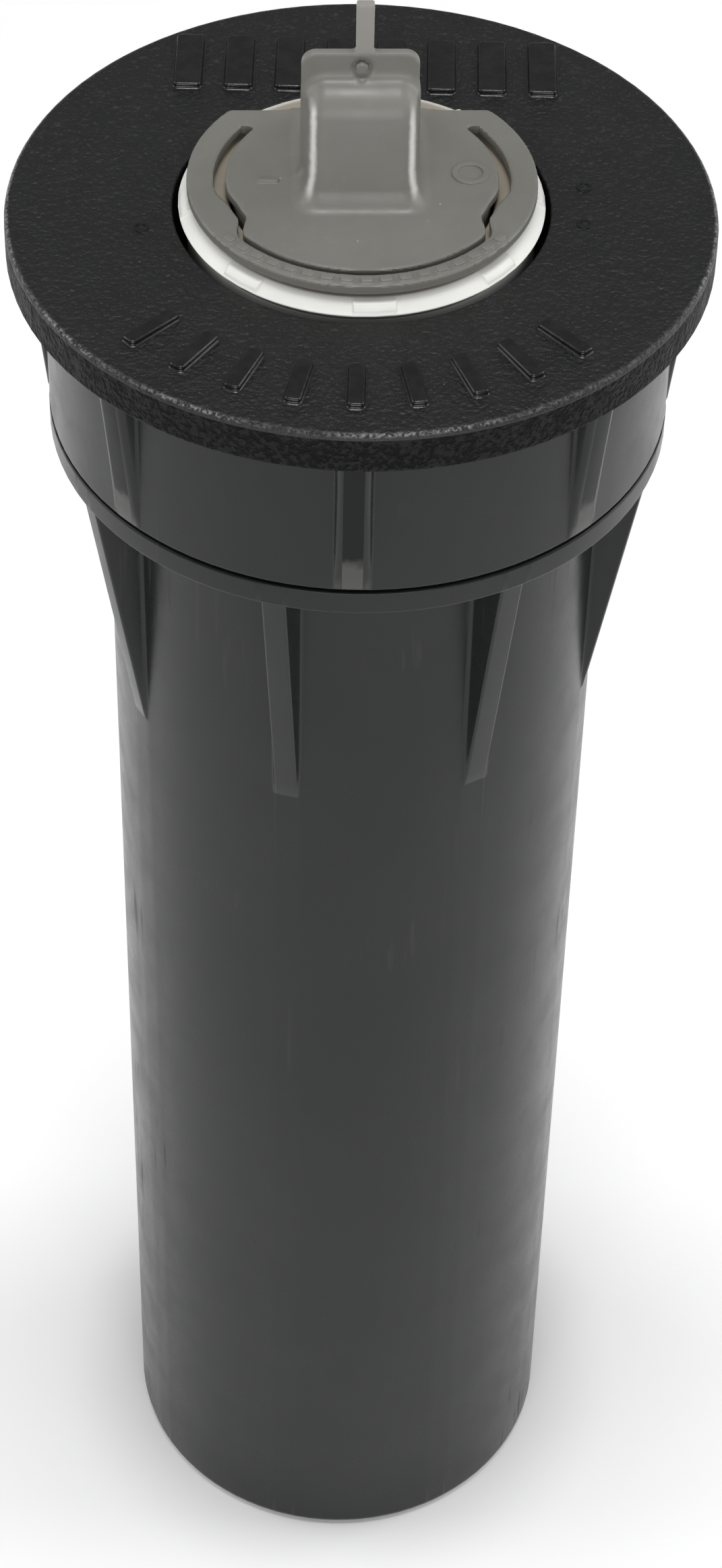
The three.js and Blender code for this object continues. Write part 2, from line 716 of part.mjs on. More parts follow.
function tabSolid() {
  const half = HOOD_WIDTH / 2 + TAB_OVERHANG;
  const bottom = hoodTop - HOOD_WALL;
  const plate = new THREE.Shape();
  plate.moveTo(-half, bottom);
  plate.lineTo(half, bottom);
  plate.lineTo(half, tabTop - TAB_CORNER);
  plate.absarc(half - TAB_CORNER, tabTop - TAB_CORNER, TAB_CORNER, 0, Math.PI / 2);
  plate.lineTo(TAB_CORNER - half, tabTop);
  plate.absarc(TAB_CORNER - half, tabTop - TAB_CORNER, TAB_CORNER, Math.PI / 2, Math.PI);
  const options = { depth: TAB_THICKNESS, bevelEnabled: false, curveSegments: 4 };
  const solid = new THREE.ExtrudeGeometry(plate, options).rotateX(Math.PI / 2);
  return solidOf(solid.translate(0, TAB_FRONT + TAB_THICKNESS, 0));
}

function stripSolid() {
  const bottom = tabTop - TAB_HEIGHT / 2;
  const height = tabTop + STRIP_HEIGHT - bottom;
  const strip = new THREE.BoxGeometry(STRIP_WIDTH, STRIP_THICKNESS, height);
  return solidOf(strip.translate(0, TAB_FRONT + TAB_THICKNESS / 2, bottom + height / 2));
}

function flushPlug() {
  const skirtOuter = socketRadius - GAP;
  const skirtInner = skirtOuter - PLUG_SKIRT_WALL;
  const skirt = ringSolid(skirtInner, skirtOuter, discBottom - SKIRT_DEPTH, discBottom + DISC_THICKNESS / 2);
  const disc = raised(discPlan(), discBottom, discTop);
  const shell = joined(disc, [skirt, hoodSolid()]);
  return joined(shell.subtract(hoodHollow()), [tabSolid(), stripSolid()]);
}

function pullRing() {
  return raised(ringPlan(), discBottom, discTop);
}

// ---------------------------------------------------------------- assembly

const plastic = (color, roughness) => new THREE.MeshStandardMaterial({ color, roughness, metalness: 0 });
const casePlastic = plastic(0x3b3e3d, 0.42);
const capPlastic = plastic(0x242524, 0.6);
const whitePlastic = plastic(0xe8e8e4, 0.45);
const plugPlastic = plastic(0x767672, 0.5);
const rubber = plastic(0x1c1c1c, 0.85);
const steel = new THREE.MeshStandardMaterial({ color: 0xb4b7ba, roughness: 0.28, metalness: 1 });

const sprinkler = new THREE.Group();

function addPiece(parent, name, solid, material) {
  const mesh = new THREE.Mesh(geometryOf(solid), material);
  mesh.name = name;
  parent.add(mesh);
}

addPiece(sprinkler, "case_body", caseShell(), casePlastic);
addPiece(sprinkler, "body_cap", bodyCap(), capPlastic);
addPiece(sprinkler, "cap_gasket", capGasket(), rubber);
addPiece(sprinkler, "wiper_seal", wiperSeal(), rubber);
addPiece(sprinkler, "seal_support_ring", sealSupportRing(), whitePlastic);
addPiece(sprinkler, "riser_stem", riserStem(), whitePlastic);
addPiece(sprinkler, "riser_foot", riserFoot(), whitePlastic);
addPiece(sprinkler, "ratchet_ring", ratchetRing(), plugPlastic);
addPiece(sprinkler, "retraction_spring", retractionSpring(), steel);

const plugGroup = new THREE.Group();
plugGroup.rotation.z = THREE.MathUtils.degToRad(PLUG_TURN);
addPiece(plugGroup, "flush_plug", flushPlug(), plugPlastic);
addPiece(plugGroup, "pull_ring", pullRing(), plugPlastic);
sprinkler.add(plugGroup);

export default sprinkler;
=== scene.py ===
"""A pop-up spray sprinkler with its flush plug in place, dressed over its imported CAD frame.

Lengths are in millimetres in the CAD's own frame: the origin is the centre of the case's bottom, +Z is
up and -Y is the front. They turn into Blender's metres where a mesh, light or camera is made. Angles
round the object are in degrees from the front, towards +X.
"""

from collections import namedtuple
from math import acos, cos, pi, radians, sin, tan

import bmesh
import bpy
import numpy as np
from mathutils import Matrix, Vector


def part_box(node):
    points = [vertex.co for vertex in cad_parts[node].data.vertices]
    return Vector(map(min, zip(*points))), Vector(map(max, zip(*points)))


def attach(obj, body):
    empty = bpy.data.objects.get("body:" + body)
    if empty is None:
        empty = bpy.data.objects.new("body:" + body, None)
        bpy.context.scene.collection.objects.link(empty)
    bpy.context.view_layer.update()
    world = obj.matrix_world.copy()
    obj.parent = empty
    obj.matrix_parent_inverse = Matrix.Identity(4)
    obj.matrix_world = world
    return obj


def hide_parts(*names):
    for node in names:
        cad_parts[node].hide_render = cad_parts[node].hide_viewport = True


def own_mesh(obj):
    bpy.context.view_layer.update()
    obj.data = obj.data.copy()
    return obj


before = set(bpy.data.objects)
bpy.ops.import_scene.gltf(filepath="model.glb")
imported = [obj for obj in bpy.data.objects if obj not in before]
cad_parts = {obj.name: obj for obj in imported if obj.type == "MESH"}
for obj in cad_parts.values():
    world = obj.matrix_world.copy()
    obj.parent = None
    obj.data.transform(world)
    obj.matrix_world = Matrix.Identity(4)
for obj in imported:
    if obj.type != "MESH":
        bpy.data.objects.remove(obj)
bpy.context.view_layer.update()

MM = 0.001
GAP = 0.3  # left between neighbouring pieces
SUNK = 0.4  # how far a moulded detail runs into the wall it stands on
NEAR = 0.001  # places this close are the same
RIB_COUNT = 8  # on the cap's skirt, and as many gussets on the case
RIB_FACE_HALF = 0.85  # half the width of a cap rib's burnished face
THREAD_PITCH = 4
THREAD_REACH = 1.5
THREAD_WIDTH = 1.9
THREAD_CLEAR = 0.6  # from the ends of the case's cap thread to the collar and to the mouth

# ---------------------------------------------------------------- sizes, from the frame


def corners(node):
    low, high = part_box(node)
    return Vector(low) / MM, Vector(high) / MM


case_high = corners("case_body")[1]
cap_low, cap_high = corners("body_cap")
gasket_low, gasket_high = corners("cap_gasket")
seal_low, seal_high = corners("wiper_seal")
support_low, support_high = corners("seal_support_ring")
riser_high = corners("riser_stem")[1]
foot_low, foot_high = corners("riser_foot")
ratchet_low, ratchet_high = corners("ratchet_ring")
spring_low, spring_high = corners("retraction_spring")
plug_low, plug_high = corners("flush_plug")
ring_low, ring_high = corners("pull_ring")

MARK_HEIGHT = 0.45  # of the cap's raised bars, which are the highest thing on the cap
cap_top = cap_high.z - MARK_HEIGHT
cap_bottom = cap_low.z
flange_radius = cap_high.x
flange_bottom = gasket_high.z + GAP
skirt_radius = flange_radius - 2.9
skirt_inner = skirt_radius - 2.6

case_radius = gasket_high.x + GAP
bore_radius = ratchet_high.x + 0.4
collar_radius = case_high.x
collar_top = cap_bottom - GAP
collar_bottom = collar_top - 2.2
mouth_top = case_high.z
gusset_tip = collar_bottom - 25.8
INLET_RADIUS = 10.6
INLET_DEPTH = 13
INLET_PITCH = 1.814  # 14 threads an inch
BOSS_RADIUS = 13.6
FLOOR_HOLE = 8
floor_top = INLET_DEPTH + 2.5

head_radius = riser_high.x
head_bottom = seal_high.z + GAP
land_top = riser_high.z
rim_top = cap_top + 0.35
stem_radius = head_radius - 5.2
waterway = stem_radius - 1.9
socket_radius = stem_radius + 1.1
socket_floor = land_top - 9.2
opening_radius = head_radius + 0.4
sleeve_radius = opening_radius + 1.6

disc_bottom = ring_low.z
disc_top = ring_high.z
disc_radius = head_radius - 0.75
hood_top = disc_top + 9.3
tab_top = hood_top + 2.4
PLUG_TURN = 2.4
HINGE_Y = 7  # where the pull ring's two ends bend
CHORD_Y = 9.15  # where the rear of the plug's disc is cut off straight

# ---------------------------------------------------------------- meshes


def add_piece(name, points, faces, material, body, slot, replaced=(), sharp=40, finish=None):
    """A mesh piece from points in millimetres, with smooth faces that stay sharp past an angle.
    Where there are several materials, finish(middle of a face) picks one of them."""
    points = np.asarray(points, float).reshape(-1, 3)
    mesh = bpy.data.meshes.new(name)
    mesh.from_pydata((points * MM).tolist(), [], faces)
    sculpt = bmesh.new()
    sculpt.from_mesh(mesh)
    bmesh.ops.recalc_face_normals(sculpt, faces=sculpt.faces)
    sculpt.to_mesh(mesh)
    sculpt.free()
    mesh.shade_smooth()
    mesh.set_sharp_from_angle(angle=radians(sharp))
    for each in material if finish else [material]:
        mesh.materials.append(each)
    if finish:
        for face in mesh.polygons:
            face.material_index = finish(*points[list(face.vertices)].mean(0))
    piece = bpy.data.objects.new(name, mesh)
    bpy.context.scene.collection.objects.link(piece)
    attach(piece, body)
    if replaced:
        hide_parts(*replaced)
    return piece


def weight_normals(piece):
    """Keeps broad flat faces flat beside their narrow rounded edges."""
    modifier = piece.modifiers.new("Normals", "WEIGHTED_NORMAL")
    modifier.keep_sharp = True


def grid_faces(rows, columns, close_rows=True):
    """Quads over a grid of points whose columns, and whose rows if asked, run round to their start."""
    last = rows if close_rows else rows - 1
    faces = []
    for i in range(last):
        here, there = i * columns, (i + 1) % rows * columns
        for j in range(columns):
            k = (j + 1) % columns
            faces.append((here + j, here + k, there + k, there + j))
    return faces


def merged(parts):
    """Several (points, faces) parts as one."""
    points, faces, start = [], [], 0
    for part_points, part_faces in parts:
        part_points = np.asarray(part_points, float).reshape(-1, 3)
        points.append(part_points)
        faces.extend(tuple(start + i for i in face) for face in part_faces)
        start += len(part_points)
    return np.vstack(points), faces


def rounded(outline, steps=4):
    """A closed outline whose (x, y, radius) corners are cut by arcs. A corner with no radius stays."""
    out = []
    count = len(outline)
    for i, corner in enumerate(outline):
        here = Vector(corner[:2])
        radius = corner[2] if len(corner) > 2 else 0
        if not radius:
            out.append(tuple(here))
            continue
        back = Vector(outline[i - 1][:2]) - here
        on = Vector(outline[(i + 1) % count][:2]) - here
        half = acos(max(-1, min(1, back.normalized().dot(on.normalized())))) / 2
        reach = min(radius / tan(half), 0.45 * back.length, 0.45 * on.length)
        radius = reach * tan(half)
        start, end = here + back.normalized() * reach, here + on.normalized() * reach
        middle = (back.normalized() + on.normalized()).normalized()
        centre = here + middle * radius / sin(half)
        turn = pi - 2 * half
        for step in range(steps + 1):
            share = step / steps
            from_start = sin((1 - share) * turn) / sin(turn)
            from_end = sin(share * turn) / sin(turn)
            out.append(tuple(centre + (start - centre) * from_start + (end - centre) * from_end))
    return out


Ribs = namedtuple("Ribs", "count phase width foot edge height")
DRAFT = 0.03
BETWEEN = 9  # columns of points from one rib to the next


def rib_section(ribs):
    """Across one rib: how far sideways each column lies, and the shares of the foot's rounding, the
    rib's height and the edge's rounding in how far it stands out."""
    quarter = np.linspace(0, pi / 2, 4)
    none, whole = np.zeros(4), np.ones(4)
    foot = [ribs.width / 2 + DRAFT + ribs.foot * (1 - np.sin(quarter)), 1 - np.cos(quarter), none, none]
    edge = [ribs.width / 2 - DRAFT - ribs.edge * (1 - np.cos(quarter)), none, whole, np.sin(quarter) - 1]
    left = np.hstack([foot, edge])
    right = left[:, ::-1].copy()
    left[0] *= -1
    return np.hstack([left, [[0], [0], [1], [0]], right])


def turned(outline, ribs=None, segments=160):
    """A closed (radius, height) outline turned about Z, as (points, faces). Ribs stand out from it by
    ribs.height(radius, height)."""
    radius, height = (np.array(v)[:, None] for v in zip(*outline))
    if ribs is None:
        angle = np.arange(segments) * 2 * pi / segments + 0 * radius
        reach = radius + 0 * angle
    else:
        sideways, foot_share, height_share, edge_share = rib_section(ribs)
        stand = np.array([[ribs.height(r, z)] for r, z in outline])
        foot = np.minimum(ribs.foot, 0.45 * stand)
        edge = np.minimum(ribs.edge, 0.45 * stand)
        on_rib = radius + foot_share * foot + height_share * stand + edge_share * edge
        across = np.arcsin(sideways / on_rib)
        step = 2 * pi / ribs.count
        share = np.arange(1, BETWEEN + 1) / (BETWEEN + 1)
        plain = across[:, -1:] + share * (step - 2 * across[:, -1:])
        sector = np.hstack([across, plain])
        starts = radians(ribs.phase) + step * np.arange(ribs.count)
        angle = np.hstack([sector + start for start in starts])
        reach = np.tile(np.hstack([on_rib, radius + 0 * plain]), (1, ribs.count))
    points = np.stack([reach * np.sin(angle), -reach * np.cos(angle), height + 0 * angle], axis=-1)
    return points, grid_faces(*angle.shape)


def wall(radius, low, high, count):
    """Points up a straight wall, both ends included."""
    return [(radius, z) for z in np.linspace(low, high, count)]


def turn_about_z(points, angle):
    return np.asarray(points) @ np.array(Matrix.Rotation(radians(angle), 3, "Z")).T


def loops(levels):
    """Stacked closed loops of points, with both ends filled."""
    levels = [np.asarray(level) for level in levels]
    count = len(levels[0])
    faces = grid_faces(len(levels), count, close_rows=False)
    faces.append(tuple(range(count)))
    faces.append(tuple(range((len(levels) - 1) * count, len(levels) * count)))
    return np.vstack(levels), faces


def pad(width, length, height, corner, edge):
    """A low raised bar on z = 0 with a soft foot and edges."""
    quarter = np.linspace(0, pi / 2, 4)
    levels = [(-edge, -SUNK)]
    levels += [(-edge * (1 - sin(a)), edge * (1 - cos(a))) for a in quarter]
    levels += [(edge * (1 - cos(a)), height - edge * (1 - sin(a))) for a in quarter]
    made = []
    for inset, z in levels:
        x, y = width / 2 - inset, length / 2 - inset
        plan = rounded([(*place, corner - inset) for place in ((-x, -y), (x, -y), (x, y), (-x, y))])
        made.append([(px, py, z) for px, py in plan])
    return loops(made)


def web(profile, width, angle):
    """A (distance, height) outline, made this wide and centred on the radius at an angle."""
    sides = [[(x, -distance, height) for distance, height in profile] for x in (-width / 2, width / 2)]
    points, faces = loops(sides)
    return turn_about_z(points, angle), faces


def around(count, phase, make):
    return merged([make(phase + 360 * i / count) for i in range(count)])


def ridge(root, reach, width, bottom, pitch, turns, steps=48, run_out=0.06):
    """A thread's ridge. reach is how far it stands from its root, inwards when negative."""
    side = np.sign(reach)
    tip = width - abs(reach) / 2
    section = np.array(rounded([
        (-side * SUNK, -width / 2), (reach, -tip / 2, 0.25),
        (reach, tip / 2, 0.25), (-side * SUNK, width / 2),
    ]))
    levels = []
    for share in np.linspace(0, 1, int(turns * steps) + 1):
        angle = 2 * pi * turns * share
        out = min(1, share / run_out, (1 - share) / run_out)
        radius = root + section[:, 0] - reach * 0.9 * (1 - out)
        height = bottom + pitch * turns * share + section[:, 1]
        levels.append(np.stack([radius * cos(angle), radius * sin(angle), height], axis=-1))
    return loops(levels)


# ---------------------------------------------------------------- smooth solids from distance fields


def smooth_step(value, low, high):
    t = np.clip((value - low) / (high - low), 0, 1)
    return t * t * (3 - 2 * t)


def blend_union(a, b, reach):
    """The union of two distances with a fillet in the corner between them."""
    return np.minimum(a, b) - np.maximum(reach - np.abs(a - b), 0) ** 2 / (4 * reach)


def rounded_both(a, b, radius):
    """The overlap of two distances with its edge rounded."""
    a, b = a + radius, b + radius
    return np.hypot(np.maximum(a, 0), np.maximum(b, 0)) + np.minimum(np.maximum(a, b), 0) - radius


def between(value, low, high):
    return np.abs(value - (low + high) / 2) - (high - low) / 2


def surface_of(field, low, high, step):
    """The closed surface where field(x, y, z) is zero, as (points, faces): one point in each grid cell
    that it crosses, moved onto it, and one quad round each grid edge that it crosses."""
    axes = [np.arange(a, b + step, step) for a, b in zip(low, high)]
    value = field(*np.meshgrid(*axes, indexing="ij"))
    shape = np.array(value.shape)
    start = np.array([axis[0] for axis in axes])
    cells, crossings, quads = [], [], []
    for axis in range(3):
        first = np.moveaxis(value, axis, 0)[:-1]
        second = np.moveaxis(value, axis, 0)[1:]
        at = np.argwhere((first < 0) != (second < 0))
        a, b = first[tuple(at.T)], second[tuple(at.T)]
        rising = a < 0
        at = np.insert(at[:, 1:], axis, at[:, 0], axis=1)
        place = at.astype(float)
        place[:, axis] += a / (a - b)
        u, v = [(1, 2), (2, 0), (0, 1)][axis]
        ring = []
        for du, dv in ((0, 0), (1, 0), (1, 1), (0, 1)):
            cell = at.copy()
            cell[:, u] -= du
            cell[:, v] -= dv
            ring.append(np.ravel_multi_index(cell.T, shape))
        ring = np.array(ring).T
        quads.append(np.where(rising[:, None], ring, ring[:, ::-1]))
        cells.append(ring.ravel())
        crossings.append(np.repeat(place, 4, axis=0))
    cells, which = np.unique(np.concatenate(cells), return_inverse=True)
    crossings = np.concatenate(crossings)
    share = np.bincount(which)
    points = np.stack([np.bincount(which, crossings[:, k]) / share for k in range(3)], axis=-1)
    points = start + points * step
    for _ in range(3):
        here = field(*points.T)
        slope = np.stack([
            (field(*(points + offset).T) - field(*(points - offset).T)) / (0.2 * step)
            for offset in np.eye(3) * 0.1 * step
        ], axis=-1)
        move = -here[:, None] * slope / np.maximum((slope**2).sum(1), 0.2)[:, None]
        points += np.clip(move, -0.5 * step, 0.5 * step)
    faces = np.searchsorted(cells, np.concatenate(quads)).tolist()
    return points, faces


# ---------------------------------------------------------------- materials

# Colours are linear red, green and blue.
DUST = (0.3, 0.29, 0.27)
BLACK = (0.0092, 0.0104, 0.0098)
BLACK_SHEEN = (0.0128, 0.0142, 0.0134)


class Paint:
    """One material: its Principled shader and short ways to build the nodes that feed it."""

    def __init__(self, name, **values):
        self.material = bpy.data.materials.new(name)
        self.material.use_nodes = True
        self.tree = self.material.node_tree
        self.shader = self.tree.nodes["Principled BSDF"]
        for socket, value in values.items():
            self.shader.inputs[socket.replace("_", " ")].default_value = value
        self.place = self.node("ShaderNodeTexCoord").outputs["Object"]
        split = self.node("ShaderNodeSeparateXYZ", {0: self.place})
        self.x, self.y, self.z = split.outputs

    def node(self, kind, inputs=None, **settings):
        made = self.tree.nodes.new(kind)
        for name, value in settings.items():
            setattr(made, name, value)
        for socket, value in (inputs or {}).items():
            if isinstance(value, bpy.types.NodeSocket):
                self.tree.links.new(value, made.inputs[socket])
            else:
                made.inputs[socket].default_value = value
        return made

    def feed(self, socket, value):
        self.tree.links.new(value, self.shader.inputs[socket])

    def stretched(self, x, y, z):
        """The object's own coordinates, in metres, scaled along each axis."""
        return self.node("ShaderNodeMapping", {0: self.place, "Scale": (x, y, z)}).outputs[0]

    def noise(self, size, detail=2.0, roughness=0.5, place=None):
        """Noise from 0 to 1 whose blotches are about this many millimetres across."""
        inputs = {"Vector": place or self.place, "Scale": 1 / (size * MM)}
        inputs |= {"Detail": detail, "Roughness": roughness}
        return self.node("ShaderNodeTexNoise", inputs).outputs["Fac"]

    def cells(self, size, feature="F1", randomness=1.0):
        inputs = {"Vector": self.place, "Scale": 1 / (size * MM), "Randomness": randomness}
        return self.node("ShaderNodeTexVoronoi", inputs, feature=feature)

    def ramp(self, value, low, high, start=0.0, end=1.0):
        inputs = {0: value, 1: low, 2: high, 3: start, 4: end}
        return self.node("ShaderNodeMapRange", inputs, interpolation_type="SMOOTHSTEP").outputs[0]

    def math(self, operation, a, b=0.0, c=0.0):
        return self.node("ShaderNodeMath", {0: a, 1: b, 2: c}, operation=operation).outputs[0]

    def mix(self, share, a, b):
        """Two colours or sockets, mixed."""
        made = self.node("ShaderNodeMix", data_type="RGBA")
        for socket, value in zip((0, 6, 7), (share, a, b)):
            if isinstance(value, bpy.types.NodeSocket):
                self.tree.links.new(value, made.inputs[socket])
            else:
                made.inputs[socket].default_value = value if socket == 0 else (*value, 1)
        return made.outputs[2]

    def bump(self, height, depth, normal=None):
        """A bump whose height from 0 to 1 stands for this many millimetres."""
        inputs = {"Height": height, "Distance": depth * MM, "Strength": 1.0}
        if normal is not None:
            inputs["Normal"] = normal
        return self.node("ShaderNodeBump", inputs).outputs[0]

    def specks(self, size, share, seed_shift):
        """Small dots, one in each of a few cells."""
        shifted = self.node("ShaderNodeMapping", {0: self.place, "Location": (seed_shift,) * 3}).outputs[0]
        found = self.node("ShaderNodeTexVoronoi", {"Vector": shifted, "Scale": 1 / (size * MM)})
        pick = self.node("ShaderNodeSeparateColor", {0: found.outputs["Color"]}).outputs[0]
        near = self.ramp(found.outputs["Distance"], 0.018, 0.034, 1.0, 0.0)
        return self.math("MULTIPLY", near, self.math("LESS_THAN", pick, share))


def moulded(paint, dark, light, dusty):
    """Smooth black polypropylene: a faint cloudy sheen, handling scuffs along the axis, a little dust,
    and a pale, broken line along its foot, a painted highlight."""
    cloud = paint.ramp(paint.noise(28, 3), 0.35, 0.7)
    along = paint.noise(0.9, 3, 0.6, paint.stretched(1, 1, 0.06))
    patch = paint.ramp(paint.noise(13, 2), 0.56, 0.7)
    scuff = paint.math("MULTIPLY", paint.ramp(along, 0.56, 0.68), patch)
    colour = paint.mix(cloud, dark, light)
    colour = paint.mix(paint.math("MULTIPLY", scuff, 0.5), colour, (0.036, 0.035, 0.033))
    dust = paint.math("MULTIPLY", paint.specks(6, dusty, 3.1), 0.5)
    # Painted highlight: a pale, broken line along the case's foot.
    at_foot = paint.ramp(paint.z, 0.15 * MM, 0.45 * MM, 1.0, 0.0)
    painted_foot_highlight = paint.math("MULTIPLY", at_foot, paint.ramp(along, 0.35, 0.6))
    colour = paint.mix(painted_foot_highlight, colour, (0.17, 0.165, 0.15))
    paint.feed("Base Color", paint.mix(dust, colour, DUST))
    rough = paint.ramp(paint.noise(5, 4, 0.6), 0.3, 0.75, 0.25, 0.34)
    paint.feed("Roughness", paint.math("ADD", rough, paint.math("MULTIPLY", scuff, 0.18)))
    waves = paint.bump(paint.noise(16, 1), 0.05)
    fine = paint.bump(paint.noise(0.35, 2), 0.0016, waves)
    paint.feed("Normal", paint.bump(scuff, 0.006, fine))
    return paint.material


def case_plastic():
    return moulded(Paint("case_plastic_smooth", Specular_IOR_Level=0.26), BLACK, BLACK_SHEEN, 0.3)


def skirt_plastic():
    return moulded(Paint("cap_plastic_smooth", Specular_IOR_Level=0.26), BLACK, BLACK_SHEEN, 0.15)


def rib_plastic():
    """The faces of the cap's ribs: burnished dark, with a paler foot, painted light."""
    paint = Paint("cap_plastic_ribs", Specular_IOR_Level=0.1)
    uneven = paint.math("MULTIPLY", paint.ramp(paint.noise(1.2, 3), 0.3, 0.7), 0.0006)
    height = paint.math("ADD", paint.z, uneven)
    # Painted light: the ribs' faces are paler towards their foot.
    wear_and_painted_light = paint.ramp(height, (cap_bottom + 2.7) * MM, (cap_bottom + 4.2) * MM, 1.0, 0.0)
    paint.feed("Base Color", paint.mix(wear_and_painted_light, (0.0085, 0.0095, 0.009), (0.075, 0.075, 0.073)))
    paint.feed("Roughness", paint.ramp(paint.noise(3, 3), 0.3, 0.7, 0.24, 0.34))
    paint.feed("Normal", paint.bump(paint.noise(0.5, 2), 0.003))
    return paint.material


def radius_in(paint):
    squares = [paint.math("MULTIPLY", axis, axis) for axis in (paint.x, paint.y)]
    return paint.math("SQRT", paint.math("ADD", *squares))


def painted_rim_highlight(paint, colour):
    """A pale, broken line painted along the flange's upper edge as a highlight."""
    inside = paint.ramp(radius_in(paint), (flange_radius - 0.42) * MM, (flange_radius - 0.2) * MM)
    above = paint.ramp(paint.z, (cap_top - 0.36) * MM, (cap_top - 0.16) * MM)
    flecks = paint.ramp(paint.noise(0.3, 2, 0.6), 0.42, 0.62)
    flecks = paint.math("MULTIPLY", flecks, paint.ramp(paint.noise(9, 1), 0.35, 0.62, 0.25, 1.0))
    share = paint.math("MULTIPLY", paint.math("MULTIPLY", inside, above), flecks)
    return paint.mix(share, colour, (0.19, 0.19, 0.183))


def grained_top():
    """Black plastic with a fine leather grain, as on the flange's top, its tips painted paler towards the
    rear as a painted sheen.
    """
    paint = Paint("cap_plastic_grained", Specular_IOR_Level=0.42)
    fine = paint.noise(0.34, 3, 0.6)
    creases = paint.cells(0.5, "SMOOTH_F1").outputs["Distance"]
    leather = paint.math("ADD", paint.math("MULTIPLY", fine, 0.7), paint.math("MULTIPLY", creases, 0.5))
    tips = paint.ramp(leather, 0.62, 0.9)
    # Painted sheen: the grain's tips are painted paler towards the rear of the top.
    rear = paint.ramp(paint.y, -0.012, 0.02, 0.25, 1.0)
    colour = paint.mix(paint.math("MULTIPLY", tips, rear), (0.0062, 0.0068, 0.0065), (0.031, 0.0315, 0.03))
    dust = paint.math("MULTIPLY", paint.specks(4.5, 0.35, 1.7), 0.6)
    # Painted highlight along the flange's upper edge.
    paint.feed("Base Color", painted_rim_highlight(paint, paint.mix(dust, colour, DUST)))
    paint.feed("Roughness", paint.ramp(paint.noise(2.2, 3), 0.3, 0.7, 0.34, 0.46))
    paint.feed("Normal", paint.bump(leather, 0.2, paint.bump(paint.noise(9, 1), 0.05)))
    return paint.material


def pebbled_rim():
    """The same plastic with a coarser, duller pebble grain, as round the flange's side."""
    paint = Paint("cap_plastic_pebbled", Specular_IOR_Level=0.09)
    lumps = paint.ramp(paint.noise(0.5, 2, 0.55), 0.36, 0.64)
    fine = paint.noise(0.24, 2, 0.6)
    pebbles = paint.math("ADD", paint.math("MULTIPLY", lumps, 0.75), paint.math("MULTIPLY", fine, 0.25))
    colour = paint.mix(paint.ramp(pebbles, 0.35, 0.9), (0.0016, 0.0018, 0.0017), (0.0105, 0.011, 0.0105))
    # Painted highlight along the flange's upper edge.
    paint.feed("Base Color", painted_rim_highlight(paint, colour))
    paint.feed("Roughness", paint.ramp(paint.noise(1.6, 3), 0.3, 0.7, 0.44, 0.58))
    paint.feed("Normal", paint.bump(pebbles, 0.16))
    return paint.material


def mark_plastic():
    """The cap's plastic on its raised bars, polished by handling."""
    paint = Paint("cap_plastic_raised", Specular_IOR_Level=0.5)
    worn = paint.ramp(paint.noise(1.6, 3), 0.35, 0.7)
    paint.feed("Base Color", paint.mix(worn, (0.0035, 0.0038, 0.0036), (0.0075, 0.008, 0.0076)))
    paint.feed("Roughness", paint.ramp(paint.noise(0.8, 3), 0.3, 0.7, 0.24, 0.34))
    paint.feed("Normal", paint.bump(paint.noise(0.45, 3, 0.6), 0.03))
    return paint.material


def painted_edge_highlights(paint):
    """Pale lines painted down the hood's two upright front edges, where the photograph has highlights."""
    spread = paint.ramp(paint.z, (disc_top + 0.2) * MM, (disc_top + 3) * MM, 4.2 * MM, 3.87 * MM)
    line = paint.math("ABSOLUTE", paint.math("SUBTRACT", paint.math("ABSOLUTE", paint.x), spread))
    uneven = paint.math("MULTIPLY", paint.noise(0.6, 2), 0.0002)
    thin = paint.ramp(paint.math("ADD", line, uneven), 0.12 * MM, 0.5 * MM, 1.0, 0.0)
    upright = paint.math(
        "MULTIPLY",
        paint.ramp(paint.z, (disc_top + 0.3) * MM, (disc_top + 1.6) * MM),
        paint.ramp(paint.z, (hood_top - 1.9) * MM, (hood_top - 0.5) * MM, 1.0, 0.0),
    )
    in_front = paint.ramp(paint.y, -2.3 * MM, -1.2 * MM, 1.0, 0.0)
    share = paint.math("MULTIPLY", thin, upright)
    return paint.math("MULTIPLY", share, paint.math("MULTIPLY", in_front, 0.75))


